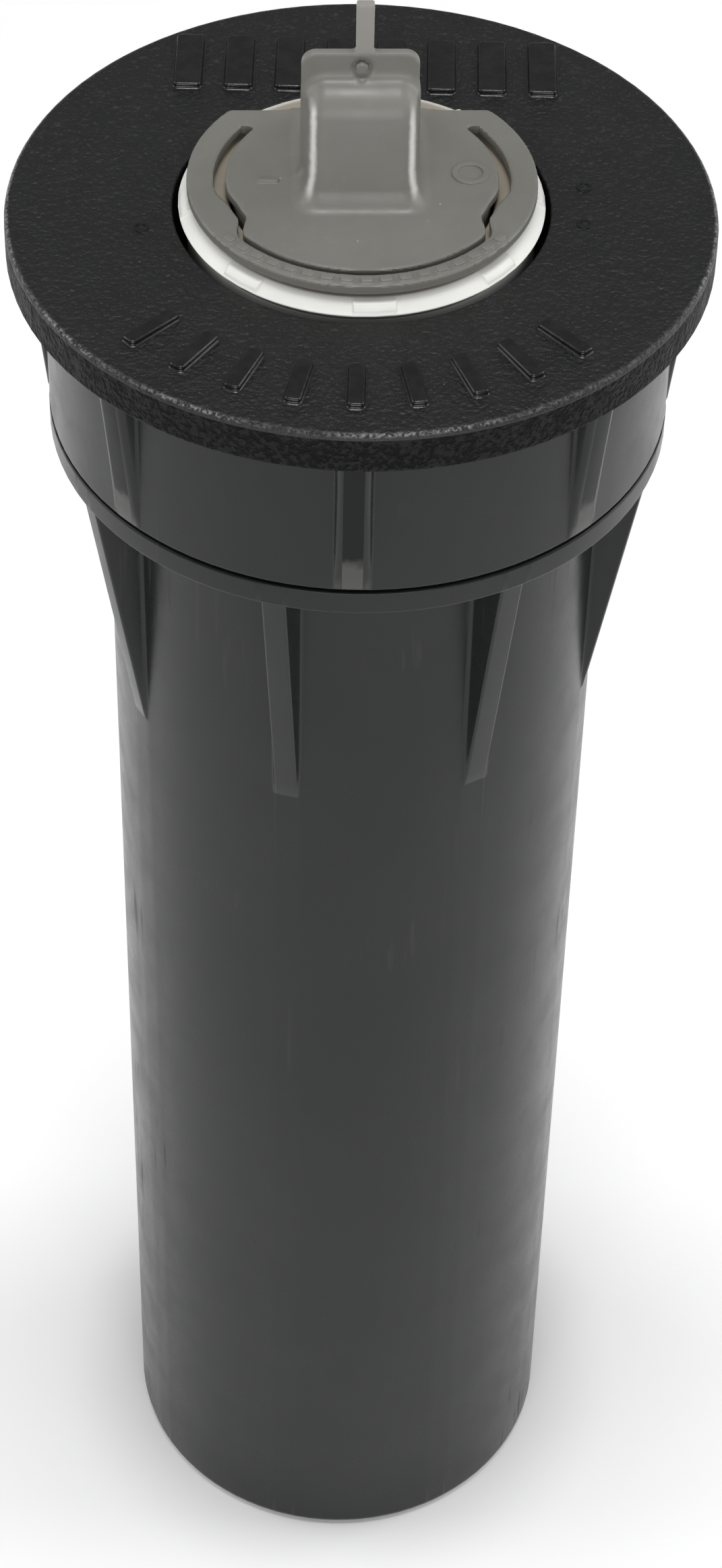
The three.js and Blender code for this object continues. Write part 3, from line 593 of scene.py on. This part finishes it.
def plug_plastic():
    """Warm grey polyethylene, waxy and slightly translucent, with flow marks and fine scratches, painted
    highlights down the hood's front edges and a paler painted light on the strip above the tab.
    """
    paint = Paint(
        "plug_plastic_waxy", Specular_IOR_Level=0.4,
        Subsurface_Weight=0.18, Subsurface_Radius=(0.0012, 0.001, 0.0008),
    )
    flow = paint.ramp(paint.noise(7, 3, 0.55), 0.3, 0.72)
    pale = paint.ramp(paint.noise(1.1, 4, 0.65), 0.55, 0.8)
    line = paint.noise(0.5, 2, 0.5, paint.stretched(1, 0.12, 0.12))
    scratch = paint.math("MULTIPLY", paint.ramp(line, 0.66, 0.72), paint.ramp(paint.noise(4, 1), 0.6, 0.7))
    dust = paint.specks(3.2, 0.35, 5.3)
    colour = paint.mix(flow, (0.172, 0.17, 0.153), (0.19, 0.188, 0.17))
    colour = paint.mix(paint.math("MULTIPLY", pale, 0.2), colour, (0.26, 0.255, 0.23))
    # Painted highlights down the hood's two upright front edges.
    colour = paint.mix(painted_edge_highlights(paint), colour, (0.78, 0.77, 0.74))
    colour = paint.mix(paint.math("MULTIPLY", scratch, 0.3), colour, (0.35, 0.34, 0.32))
    # Painted light: the strip above the tab is tinted paler, as lit from above.
    stub = paint.ramp(paint.z, (tab_top - 0.3) * MM, (tab_top + 0.5) * MM)
    colour = paint.mix(stub, colour, (0.29, 0.282, 0.258))
    paint.feed("Base Color", paint.mix(paint.math("MULTIPLY", dust, 0.6), colour, (0.55, 0.5, 0.42)))
    paint.feed("Roughness", paint.ramp(paint.noise(1.8, 4, 0.6), 0.3, 0.75, 0.36, 0.46))
    sag = paint.bump(paint.noise(4.5, 1), 0.03)
    paint.feed("Normal", paint.bump(paint.noise(0.3, 2), 0.003, sag))
    return paint.material


def white_plastic():
    """White acetal, a little translucent, with faint rubbing marks round it, a beige painted shade on the
    head's land beside the plug, and a dark band painted under the rim as the shade in the gap there."""
    paint = Paint(
        "white_plastic_acetal", Specular_IOR_Level=0.5,
        Subsurface_Weight=0.25, Subsurface_Radius=(0.0015, 0.0014, 0.0012),
    )
    tint = paint.ramp(paint.noise(9, 3), 0.3, 0.7)
    rings = paint.noise(0.8, 3, 0.6, paint.stretched(0.15, 0.15, 1))
    colour = paint.mix(tint, (0.77, 0.775, 0.735), (0.83, 0.83, 0.795))
    # Real rubbing marks, in rings round the riser.
    wear_and_painted_light = paint.ramp(rings, 0.6, 0.8, 0.0, 0.12)
    colour = paint.mix(wear_and_painted_light, colour, (0.62, 0.61, 0.57))
    # Painted shade: a beige darkening on the head's land under the plug's disc.
    under_plug = paint.ramp(radius_in(paint), (disc_radius - 0.9) * MM, (disc_radius - 0.2) * MM, 1.0, 0.0)
    on_land = paint.ramp(paint.z, (land_top - 1) * MM, (land_top - 0.2) * MM)
    painted_shade_under_plug = paint.math("MULTIPLY", under_plug, on_land)
    colour = paint.mix(painted_shade_under_plug, colour, (0.33, 0.295, 0.235))
    below_rim = paint.math(
        "MULTIPLY",
        paint.ramp(paint.z, (rim_top - 1.0) * MM, (rim_top - 0.8) * MM),
        paint.ramp(paint.z, (rim_top - 0.3) * MM, (rim_top - 0.14) * MM, 1.0, 0.0),
    )
    outside = paint.ramp(radius_in(paint), (head_radius - 1.5) * MM, (head_radius - 1.3) * MM)
    in_gap = paint.math("MULTIPLY", outside, below_rim)
    paint.feed("Base Color", paint.mix(in_gap, colour, (0.13, 0.13, 0.12)))
    paint.feed("Roughness", paint.ramp(paint.noise(2.5, 3), 0.3, 0.7, 0.34, 0.46))
    paint.feed("Normal", paint.bump(paint.noise(0.5, 2), 0.004))
    return paint.material


def guide_plastic():
    """Grey acetal of the loose ratchet ring."""
    paint = Paint("guide_plastic_acetal", Specular_IOR_Level=0.5)
    tint = paint.ramp(paint.noise(3, 3), 0.3, 0.7)
    paint.feed("Base Color", paint.mix(tint, (0.15, 0.15, 0.145), (0.19, 0.19, 0.18)))
    paint.feed("Roughness", paint.ramp(paint.noise(1.5, 3), 0.3, 0.7, 0.36, 0.5))
    paint.feed("Normal", paint.bump(paint.noise(0.4, 2), 0.004))
    return paint.material


def rubber():
    """Matt black moulded rubber with a talc bloom."""
    paint = Paint("seal_rubber_black", Specular_IOR_Level=0.3)
    bloom = paint.math("MULTIPLY", paint.ramp(paint.noise(1.8, 4, 0.6), 0.5, 0.8), 0.4)
    paint.feed("Base Color", paint.mix(bloom, (0.012, 0.012, 0.012), (0.05, 0.05, 0.05)))
    paint.feed("Roughness", paint.ramp(paint.noise(0.9, 3), 0.3, 0.7, 0.7, 0.88))
    paint.feed("Normal", paint.bump(paint.noise(0.25, 3), 0.01))
    return paint.material


def spring_steel():
    """Drawn stainless wire, with fine lines along it and a faint dull film."""
    paint = Paint("spring_steel_drawn", Metallic=1.0)
    film = paint.ramp(paint.noise(2.4, 3), 0.35, 0.75)
    paint.feed("Base Color", paint.mix(film, (0.61, 0.62, 0.63), (0.49, 0.48, 0.47)))
    paint.feed("Roughness", paint.ramp(paint.noise(0.7, 3), 0.3, 0.7, 0.2, 0.36))
    paint.feed("Normal", paint.bump(paint.noise(0.16, 2, 0.5, paint.stretched(1, 1, 3)), 0.003))
    return paint.material


CASE, SKIRT, RIBS = case_plastic(), skirt_plastic(), rib_plastic()
GRAINED, PEBBLED, MARKS, PLUG = grained_top(), pebbled_rim(), mark_plastic(), plug_plastic()
WHITE, GUIDE, RUBBER, STEEL = white_plastic(), guide_plastic(), rubber(), spring_steel()

# ---------------------------------------------------------------- case


def gusset_height(radius, height):
    """How far a gusset stands out of the case's wall: nothing off the wall, and most under the collar."""
    if abs(radius - case_radius) > NEAR or not gusset_tip - NEAR <= height <= collar_bottom + NEAR:
        return 0
    share = (height - gusset_tip) / (collar_bottom - gusset_tip)
    return 0.15 + share * (collar_radius - 0.45 - case_radius - 0.15)


def build_case():
    """The case. Returns where its cap thread starts and how many turns it has."""
    outline = rounded([
        (INLET_RADIUS, 0, 0.5), (BOSS_RADIUS, 0, 0.4), (BOSS_RADIUS, INLET_DEPTH, 0.5),
        (bore_radius, INLET_DEPTH, 0.5), (bore_radius, 0, 0.3), (case_radius, 0, 1.2),
        *wall(case_radius, 4, gusset_tip - 0.3, 12),
        *wall(case_radius, gusset_tip, collar_bottom, 19),
        (collar_radius, collar_bottom, 0.25), (collar_radius, collar_top, 0.2),
        (case_radius, collar_top, 0.2),
        (case_radius, mouth_top, 0.4), (bore_radius, mouth_top, 0.4), (bore_radius, floor_top, 1.2),
        (FLOOR_HOLE, floor_top, 0.4), (FLOOR_HOLE, INLET_DEPTH, 0.3), (INLET_RADIUS, INLET_DEPTH, 0.3),
    ])
    gussets = Ribs(RIB_COUNT, -14.4, 2.1, 0.35, 0.22, gusset_height)
    points, faces = turned(outline, gussets)
    weight_normals(add_piece("case_shell", points, faces, CASE, "case", "case_plastic", ["case_body"]))

    bottom = collar_top + THREAD_CLEAR + THREAD_WIDTH / 2
    turns = (mouth_top - THREAD_CLEAR - THREAD_WIDTH / 2 - bottom) / THREAD_PITCH
    inlet_turns = int((INLET_DEPTH - 2 * INLET_PITCH) / INLET_PITCH)
    threads = merged([
        ridge(case_radius, THREAD_REACH, THREAD_WIDTH, bottom, THREAD_PITCH, turns),
        ridge(INLET_RADIUS, -0.8, 1.27, INLET_PITCH, INLET_PITCH, inlet_turns),
    ])
    add_piece("case_threads", *threads, CASE, "case", "case_plastic")

    guide_top = spring_high.z - 8
    guide = rounded([
        (bore_radius - 1, floor_top - SUNK), (bore_radius + SUNK, floor_top - SUNK),
        (bore_radius + SUNK, guide_top + 1), (bore_radius - 1, guide_top, 0.6),
    ])
    brace = [
        (BOSS_RADIUS - SUNK, 2.5), (bore_radius + SUNK, 2.5),
        (bore_radius + SUNK, INLET_DEPTH + SUNK), (BOSS_RADIUS - SUNK, INLET_DEPTH + SUNK),
    ]
    webs = merged([
        around(8, 0, lambda angle: web(guide, 1.6, angle)),
        around(8, 0, lambda angle: web(brace, 1.6, angle)),
    ])
    add_piece("case_webs", *webs, CASE, "case", "case_plastic")
    return bottom, turns


# ---------------------------------------------------------------- cap


def cap_rib_height(radius, height):
    """How far a rib stands out of the cap's skirt: nothing at its lower edge, and most under the flange."""
    foot = cap_bottom + GAP
    if abs(radius - skirt_radius) > NEAR or not foot - NEAR <= height <= flange_bottom + NEAR:
        return 0
    return 0.15 + (height - foot) / (flange_bottom - foot) * 1.55


CAP_FINISHES = [SKIRT, GRAINED, PEBBLED, RIBS]
ON_SKIRT, ON_TOP, ON_SIDE, ON_RIB = range(4)


def cap_finish(x, y, z):
    """Which of the cap's four finishes a face has, by its middle."""
    radius = np.hypot(x, y)
    if z > cap_top - 0.5 and radius > opening_radius + 0.02:
        return ON_TOP
    if radius > flange_radius - 0.4:
        return ON_SIDE
    turn = 2 * pi / RIB_COUNT
    off_rib = (np.arctan2(x, -y) + turn / 2) % turn - turn / 2
    on_face = abs(off_rib * radius) < RIB_FACE_HALF and radius > skirt_radius + 0.06
    return ON_RIB if on_face and z < flange_bottom - 0.05 else ON_SKIRT


FRONT_BARS = 9
FRONT_BAR_STEP = 11  # degrees from one to the next
REAR_BARS = 8
REAR_BAR_STEP = 4.2
PIN_MARKS = ((-17.4, -3.7), (17.8, 3.0), (17.7, -1.9))  # small circles, like those of ejector pins


def build_cap(thread_bottom, thread_turns):
    outline = rounded([
        (opening_radius, head_bottom, 0.3), (sleeve_radius, head_bottom, 0.3),
        (sleeve_radius, flange_bottom, 0.4),
        (skirt_inner, flange_bottom, 0.4), (skirt_inner, cap_bottom, 0.3), (skirt_radius, cap_bottom, 0.18),
        *wall(skirt_radius, cap_bottom + GAP, flange_bottom, 12),
        (flange_radius, flange_bottom, 0.35), (flange_radius, cap_top, 0.55),
        (opening_radius, cap_top, 0.18),
    ])
    ribs = Ribs(RIB_COUNT, 0, 2.8, 0.25, 0.55, cap_rib_height)
    points, faces = turned(outline, ribs)
    weight_normals(add_piece(
        "cap_shell", points, faces, CAP_FINISHES, "cap", "cap_plastic", ["body_cap"], finish=cap_finish
    ))
    between_threads = thread_bottom + THREAD_PITCH / 2
    thread = ridge(skirt_inner, -THREAD_REACH, 1.4, between_threads, THREAD_PITCH, thread_turns - 0.5)
    add_piece("cap_thread", *thread, SKIRT, "cap", "cap_plastic")

    bars = []
    middle = flange_radius - 3.1 - 5 / 2
    for i in range(FRONT_BARS):
        points, faces = pad(1.3, 5, MARK_HEIGHT, 0.35, 0.2)
        angle = (i - (FRONT_BARS - 1) / 2) * FRONT_BAR_STEP
        bars.append((turn_about_z(points + [0, -middle, cap_top], angle), faces))
    for i in range(REAR_BARS):
        points, faces = pad(2.3, 7.2, MARK_HEIGHT, 0.35, 0.2)
        x = (i - (REAR_BARS - 1) / 2) * REAR_BAR_STEP
        bars.append((points + [x, opening_radius + 0.2 + 3.6, cap_top], faces))
    weight_normals(add_piece("cap_bars", *merged(bars), MARKS, "cap", "cap_plastic"))

    pin = rounded([(0.42, -SUNK), (0.62, -SUNK), (0.62, 0.07, 0.03), (0.42, 0.07, 0.03)])
    points, faces = turned(pin, segments=32)
    pins = merged([(points + [x, y, cap_top], faces) for x, y in PIN_MARKS])
    add_piece("cap_pin_marks", *pins, SKIRT, "cap", "cap_plastic")


# ---------------------------------------------------------------- seals


def build_seals():
    inner, outer = case_radius - 2.1, gasket_high.x
    gasket = rounded([
        (inner, gasket_low.z, 0.35), (outer, gasket_low.z, 0.35),
        (outer, gasket_high.z, 0.35), (inner, gasket_high.z, 0.35),
    ])
    add_piece("gasket_ring", *turned(gasket), RUBBER, "cap", "seal_rubber", ["cap_gasket"])

    lip = stem_radius + GAP
    seal = rounded([
        (lip, seal_high.z - 2, 0.1), (lip + 1, seal_low.z, 0.2), (seal_high.x, seal_low.z, 0.3),
        (seal_high.x, seal_high.z, 0.3), (lip + 1, seal_high.z, 0.2), (lip, seal_high.z - 0.5, 0.15),
    ])
    add_piece("seal_lip", *turned(seal), RUBBER, "cap", "seal_rubber", ["wiper_seal"])

    hole, seat, base = stem_radius + 2 * GAP, spring_high.x + GAP, spring_high.z + GAP
    support = rounded([
        (hole, base, 0.3), (seat, base, 0.2), (seat, support_low.z, 0.2), (seat + 1.2, support_low.z, 0.2),
        (seat + 1.2, base, 0.2), (support_high.x, support_high.z - 1.7, 0.2),
        (support_high.x, support_high.z, 0.3), (hole, support_high.z, 0.3),
    ])
    add_piece("support_ring", *turned(support), WHITE, "cap_seat", "white_plastic", ["seal_support_ring"])


# ---------------------------------------------------------------- riser


BLOCK_PROUD = 0.32  # how far the grip blocks stand out of the head's cone
RIM_UNDERCUT = 0.75  # how far the side under the rim is set back


def block_height(radius, height):
    """How far a grip block stands out of the head's cone, fading out at the rim."""
    if not (rim_top - NEAR <= height <= land_top and head_radius - 1.2 < radius < head_radius):
        return 0
    return BLOCK_PROUD * min(1, (height - rim_top) / 0.35)


def build_riser():
    spigot = stem_radius - 0.8
    core = head_radius - 1.5
    cone_low, cone_high = (head_radius - 0.12, rim_top), (head_radius - 1.0, land_top - 0.1)
    shares = (0.1, 0.3, 0.5, 0.7, 0.8, 0.88, 0.96)
    cone = [tuple(np.array(cone_low) * (1 - s) + np.array(cone_high) * s) for s in shares]
    outline = rounded([
        (waterway, foot_low.z, 0.2), (spigot, foot_low.z, 0.2),
        (spigot, ratchet_low.z), (stem_radius, ratchet_low.z, 0.15),
        *wall(stem_radius, ratchet_low.z + 8, head_bottom - 6, 10), (stem_radius, head_bottom, 0.15),
        (core - 1.2, head_bottom, 0.2), (core - 1.2, cap_top - 2.4, 0.3),
        (core, cap_top - 2.4, 0.3), (core, head_bottom, 0.2),
        (head_radius - RIM_UNDERCUT, head_bottom, 0.25), (head_radius - RIM_UNDERCUT, rim_top - 0.9, 0.2),
        (head_radius, rim_top - 0.05, 0.1), *cone,
        (head_radius - 1.25, land_top, 0.1), (socket_radius, land_top, 0.3),
        (socket_radius, socket_floor, 0.3), (waterway, socket_floor - 1, 0.3),
    ])
    blocks = Ribs(8, 5, 3.4, 0.1, 0.12, block_height)
    points, faces = turned(outline, blocks)
    weight_normals(add_piece("riser_tube", points, faces, WHITE, "riser", "white_plastic", ["riser_stem"]))

    tip = stem_radius + 0.65
    tooth = [
        (stem_radius - SUNK, ratchet_low.z), (tip, ratchet_low.z),
        (tip, ratchet_high.z - 0.65), (stem_radius - SUNK, ratchet_high.z),
    ]
    teeth = around(24, 0, lambda angle: web(tooth, 1.1, angle))
    add_piece("riser_teeth", *teeth, WHITE, "riser", "white_plastic")

    hole = spigot + GAP
    foot = rounded([
        (hole, foot_low.z, 0.15), (foot_high.x, foot_low.z, 0.8),
        (foot_high.x, foot_high.z, 0.3), (hole, foot_high.z, 0.15),
    ])
    add_piece("foot_ring", *turned(foot), WHITE, "riser", "white_plastic", ["riser_foot"])


def build_spring():
    wire = 0.6
    mean = spring_high.x - wire
    turns, steps, sides = 9, 56, 12
    ends = spring_high.z - spring_low.z - 2 * wire
    levels = []
    for share in np.linspace(0, 1, turns * steps + 1):
        angle = 2 * pi * turns * share
        height = spring_low.z + wire + ends * share
        section = np.linspace(0, 2 * pi, sides, endpoint=False)
        radius = mean + wire * np.cos(section)
        up = height + wire * np.sin(section)
        levels.append(np.stack([radius * cos(angle), radius * sin(angle), up], axis=-1))
    piece = add_piece("spring_coil", *loops(levels), STEEL, "cap_seat", "spring_steel", ["retraction_spring"])
    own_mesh(piece)


# ---------------------------------------------------------------- flush plug and pull ring


TO_NOTCH = (51, 63)  # degrees from the front over which the slot's edges run into the snap notch
TO_SIDE = (70, 84)  # and from there to the slot's long side


def slot_edge(angle, front, notch, side):
    """The radius of an edge of the slot, in plug coordinates: at the front, in the snap notch and along
    the side."""
    turn = np.abs(angle)
    radius = front + (notch - front) * smooth_step(turn, *TO_NOTCH)
    return radius + (side - radius) * smooth_step(turn, *TO_SIDE)


def outside_edge(x, y, *radii):
    """Distance outside such an edge."""
    radius = np.hypot(x, y)
    angle = np.degrees(np.arctan2(x, -y))
    rise = slot_edge(angle + 0.5, *radii) - slot_edge(angle - 0.5, *radii)
    slope = rise / radians(1) / np.maximum(radius, 1)
    return (radius - slot_edge(angle, *radii)) / np.sqrt(1 + slope**2)


# The slot's outer edge, on the ring, and its inner edge, on the disc: front, notch and side.
RING_EDGE = (disc_radius - 1.5, disc_radius - 2.8, disc_radius - 2.15)
DISC_EDGE = (disc_radius - 2.0, disc_radius - 3.5, disc_radius - 3.1)
EDGE_ROUND = 0.14
HINGE_LAP = 0.08  # how far the ring and the disc each run past the hinge line, into one another


def ring_field(x, y, z):
    rim = np.hypot(x, y) - disc_radius
    plan = rounded_both(rim, -outside_edge(x, y, *RING_EDGE), 0.05)
    slab = between(z, disc_bottom, disc_top)
    return np.maximum(rounded_both(plan, slab, EDGE_ROUND), y - HINGE_Y - HINGE_LAP)


def disc_field(x, y, z):
    slab = between(z, disc_bottom, disc_top)
    inner = rounded_both(np.maximum(outside_edge(x, y, *DISC_EDGE), y - CHORD_Y), slab, EDGE_ROUND)
    rear = rounded_both(rounded_both(np.hypot(x, y) - disc_radius, y - CHORD_Y, 0.3), slab, EDGE_ROUND)
    return np.maximum(blend_union(inner, np.maximum(rear, HINGE_Y - HINGE_LAP - y), 0.6), slab)


HOOD_HALF = 4.45  # half its width at the disc, without the flare
HOOD_OFFSET = -0.12  # the hood and the tab stand a little to the left
HOOD_FRONT = -2.2  # where the front meets the roof
HOOD_LEAN = 0.2  # how much the front leans forwards for each millimetre down
HOOD_WALL = 0.9
HOOD_DRAFT = 0.02  # how much each side leans in for each millimetre of height
FLARE_HEIGHT = 1.5  # how high up the hood its foot starts to spread
FLARE_FRONT = 0.62  # how far the hood's foot spreads forwards
FLARE_SIDE = 0.75  # and to each side
TAB_DEPTH = 0.75
TAB_HALF = 4.6  # half the tab's width
TAB_OFFSET = -0.3  # the tab stands further to the left than the hood


def hood_field(x, y, z):
    """The hood's outside: an upright front, a short roof and a slope down to the rear."""
    x = x - HOOD_OFFSET
    flare = np.clip(1 - (z - disc_top) / FLARE_HEIGHT, 0, 1) ** 2
    lean = HOOD_LEAN * (hood_top - z) + FLARE_FRONT * flare
    front = rounded_both((HOOD_FRONT - y - lean) / np.hypot(1, HOOD_LEAN), z - hood_top, 2.0)
    run, fall = CHORD_Y - TAB_DEPTH, hood_top - disc_top
    slope = ((y - TAB_DEPTH) * fall + (z - hood_top) * run) / np.hypot(run, fall)
    side = np.abs(x) - HOOD_HALF + HOOD_DRAFT * (z - disc_top) - FLARE_SIDE * flare
    hood = np.maximum(rounded_both(front, side, 1.5), slope)
    return np.maximum(hood, np.maximum(disc_bottom + GAP - z, y - CHORD_Y))


def hollow_field(x, y, z):
    """The water's way up through the disc and out at the hood's rear."""
    front = HOOD_FRONT + HOOD_WALL - y
    roof = z - hood_top + HOOD_WALL
    side = np.abs(x - HOOD_OFFSET) - HOOD_HALF + HOOD_WALL + HOOD_DRAFT * (z - disc_top)
    room = rounded_both(rounded_both(front, roof, 0.6), side, 0.5)
    clear_of_ledge = np.minimum(y - CHORD_Y + 2, disc_top + GAP - z)
    return np.maximum(room, clear_of_ledge)


def tab_field(x, y, z):
    plate = rounded_both(np.abs(x - TAB_OFFSET) - TAB_HALF, z - tab_top, 1.15)
    plate = rounded_both(plate, between(y, 0, TAB_DEPTH), 0.16)
    strip = rounded_both(np.abs(x) - 0.7, between(y, 0, TAB_DEPTH), 0.12)
    strip = rounded_both(strip, z - plug_high.z, 0.12)
    both = blend_union(plate, strip, 0.25)
    return np.maximum(both, disc_bottom + GAP - z)


GATE = (-0.2, tab_top - 1.3)  # where the plug was filled: x and z on the tab's front
DIMPLE_RADIUS = 1.12  # of the ball that cuts the dimple round it
STUB_RADIUS = 0.5
FIELD_STEP = 0.17  # the grid on which the plug and the ring are made


def plug_field(x, y, z):
    body = blend_union(disc_field(x, y, z), hood_field(x, y, z), 0.45)
    body = blend_union(body, tab_field(x, y, z), 0.8)
    body = np.maximum(np.maximum(body, disc_bottom - z), -hollow_field(x, y, z))
    away = np.hypot(x - GATE[0], z - GATE[1])
    dimple = np.sqrt(away**2 + (y + 0.7) ** 2) - DIMPLE_RADIUS
    stub = np.maximum(away - STUB_RADIUS, -y - 0.16)
    body = np.maximum(body, -dimple)
    return np.minimum(body, np.maximum(stub, y - TAB_DEPTH / 2))


DISC_DASH = (-7.5, -0.5)
DISC_CIRCLE = (8.6, 0.5)
RING_DASHES = 17
RING_DASH_STEP = 6.6  # degrees from one to the next


def plug_marks():
    """Two plain raised marks on the disc: a circle on one side and a short dash on the other."""
    points, faces = pad(1.7, 0.5, 0.18, 0.2, 0.08)
    parts = [(points + [*DISC_DASH, disc_top], faces)]
    ring = rounded([(1.0, -SUNK), (1.5, -SUNK), (1.5, 0.13, 0.06), (1.0, 0.13, 0.06)])
    points, faces = turned(ring, segments=40)
    parts.append((points + [*DISC_CIRCLE, disc_top], faces))
    return merged(parts)


def ring_marks():
    """Plain raised dashes along the pull ring's front."""
    def dash(angle):
        points, faces = pad(1.0, 0.7, 0.22, 0.2, 0.1)
        return turn_about_z(points + [0, 0.75 - disc_radius - 0.02, disc_top], angle), faces

    return merged([dash(RING_DASH_STEP * (i - RING_DASHES // 2)) for i in range(RING_DASHES)])


def build_plug():
    reach = disc_radius + 0.4
    low = (-reach, -reach, disc_bottom - 0.5)
    points, faces = surface_of(plug_field, low, (reach, CHORD_Y + 0.5, plug_high.z + 0.5), FIELD_STEP)
    points = turn_about_z(points, PLUG_TURN)
    add_piece("plug_hood", points, faces, PLUG, "plug", "plug_plastic", ["flush_plug"], 50)
    points, faces = surface_of(ring_field, low, (reach, HINGE_Y + 0.5, disc_top + 0.5), FIELD_STEP)
    points = turn_about_z(points, PLUG_TURN)
    add_piece("ring_loop", points, faces, PLUG, "ring", "plug_plastic", ["pull_ring"], 50)

    for name, marks, body in (("plug_marks", plug_marks(), "plug"), ("ring_marks", ring_marks(), "ring")):
        add_piece(name, turn_about_z(marks[0], PLUG_TURN), marks[1], PLUG, body, "plug_plastic")

    outer = socket_radius - GAP
    skirt = rounded([
        (outer - 1.1, plug_low.z, 0.2), (outer, plug_low.z, 0.35),
        (outer, disc_bottom + 0.3), (outer - 1.1, disc_bottom + 0.3),
    ])
    add_piece("plug_skirt", *turned(skirt), PLUG, "plug", "plug_plastic")


def build_ratchet():
    """The loose ratchet ring keeps its CAD shape, with its own plastic."""
    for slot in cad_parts["ratchet_ring"].material_slots:
        slot.material = GUIDE


# ---------------------------------------------------------------- stage


# The paper glows in two steps, a painted light: it is darker close to the object, a painted shadow round
# its base, and white behind it. Each grows between two distances from the middle, in metres, up to a
# strength.
NEAR_GLOW = (0.0185, 0.031, 0.0, 0.17)
FAR_GLOW = (0.6, 1.6, 0.0, 0.6)
FLOOR_HALF = 2.5  # metres


def build_floor():
    paint = Paint("floor_paper", Roughness=0.9)
    shade = paint.ramp(paint.noise(60, 3), 0.3, 0.7)
    paint.feed("Base Color", paint.mix(shade, (0.93, 0.93, 0.93), (0.95, 0.95, 0.95)))
    paint.shader.inputs["Emission Color"].default_value = (1, 1, 1, 1)
    radius = radius_in(paint)
    glow = paint.ramp(radius, *NEAR_GLOW)
    paint.feed("Emission Strength", paint.math("ADD", glow, paint.ramp(radius, *FAR_GLOW)))
    mesh = bpy.data.meshes.new("floor")
    signs = ((-1, -1), (1, -1), (1, 1), (-1, 1))
    mesh.from_pydata([(x * FLOOR_HALF, y * FLOOR_HALF, 0) for x, y in signs], [], [(0, 1, 2, 3)])
    mesh.materials.append(paint.material)
    floor = bpy.data.objects.new("floor", mesh)
    bpy.context.scene.collection.objects.link(floor)


def add_softbox(name, place, width, height, power):
    """A soft area light, in metres, that faces the middle of the object."""
    data = bpy.data.lights.new(name, "AREA")
    data.shape = "RECTANGLE"
    data.size, data.size_y = width, height
    data.energy = power
    light = bpy.data.objects.new(name, data)
    light.location = place
    aim = Vector((0, 0, 0.1)) - Vector(place)
    light.rotation_euler = aim.to_track_quat("-Z", "Y").to_euler()
    light.visible_camera = False
    bpy.context.scene.collection.objects.link(light)


def light_the_set():
    world = bpy.data.worlds.new("studio")
    world.use_nodes = True
    background = world.node_tree.nodes["Background"]
    background.inputs[0].default_value = (1, 1, 1, 1)
    background.inputs[1].default_value = 0.26
    bpy.context.scene.world = world
    add_softbox("left", (-0.75, 0.14, 0.42), 0.5, 0.9, 2.4)
    add_softbox("right", (0.75, 0.17, 0.45), 0.5, 0.9, 3.1)
    add_softbox("overhead", (0.0, -0.04, 0.98), 0.3, 0.22, 3.4)
    add_softbox("front_fill", (0.0, -0.85, 0.36), 0.9, 0.4, 3.8)
    bpy.context.scene.view_settings.view_transform = "Standard"


def add_camera():
    """The photograph's viewing angle: from the front, about 45 degrees down, and a little rolled."""
    elevation, roll = radians(45.38), radians(1.39)
    place = (0.00106, -0.2467, 0.3392)
    forward = Vector((0, cos(elevation), -sin(elevation)))
    level_up = Vector((0, sin(elevation), cos(elevation)))
    right = Vector((cos(roll), 0, 0)) + sin(roll) * level_up
    up = right.cross(forward)
    data = bpy.data.cameras.new("camera")
    data.lens = 87.64
    data.clip_start = 0.01
    camera = bpy.data.objects.new("camera", data)
    turn = Matrix((right, up, -forward)).transposed()
    camera.matrix_world = Matrix.Translation(place) @ turn.to_4x4()
    bpy.context.scene.collection.objects.link(camera)
    bpy.context.scene.camera = camera


thread_bottom, thread_turns = build_case()
build_cap(thread_bottom, thread_turns)
build_seals()
build_riser()
build_spring()
build_plug()
build_ratchet()
build_floor()
light_the_set()
add_camera()
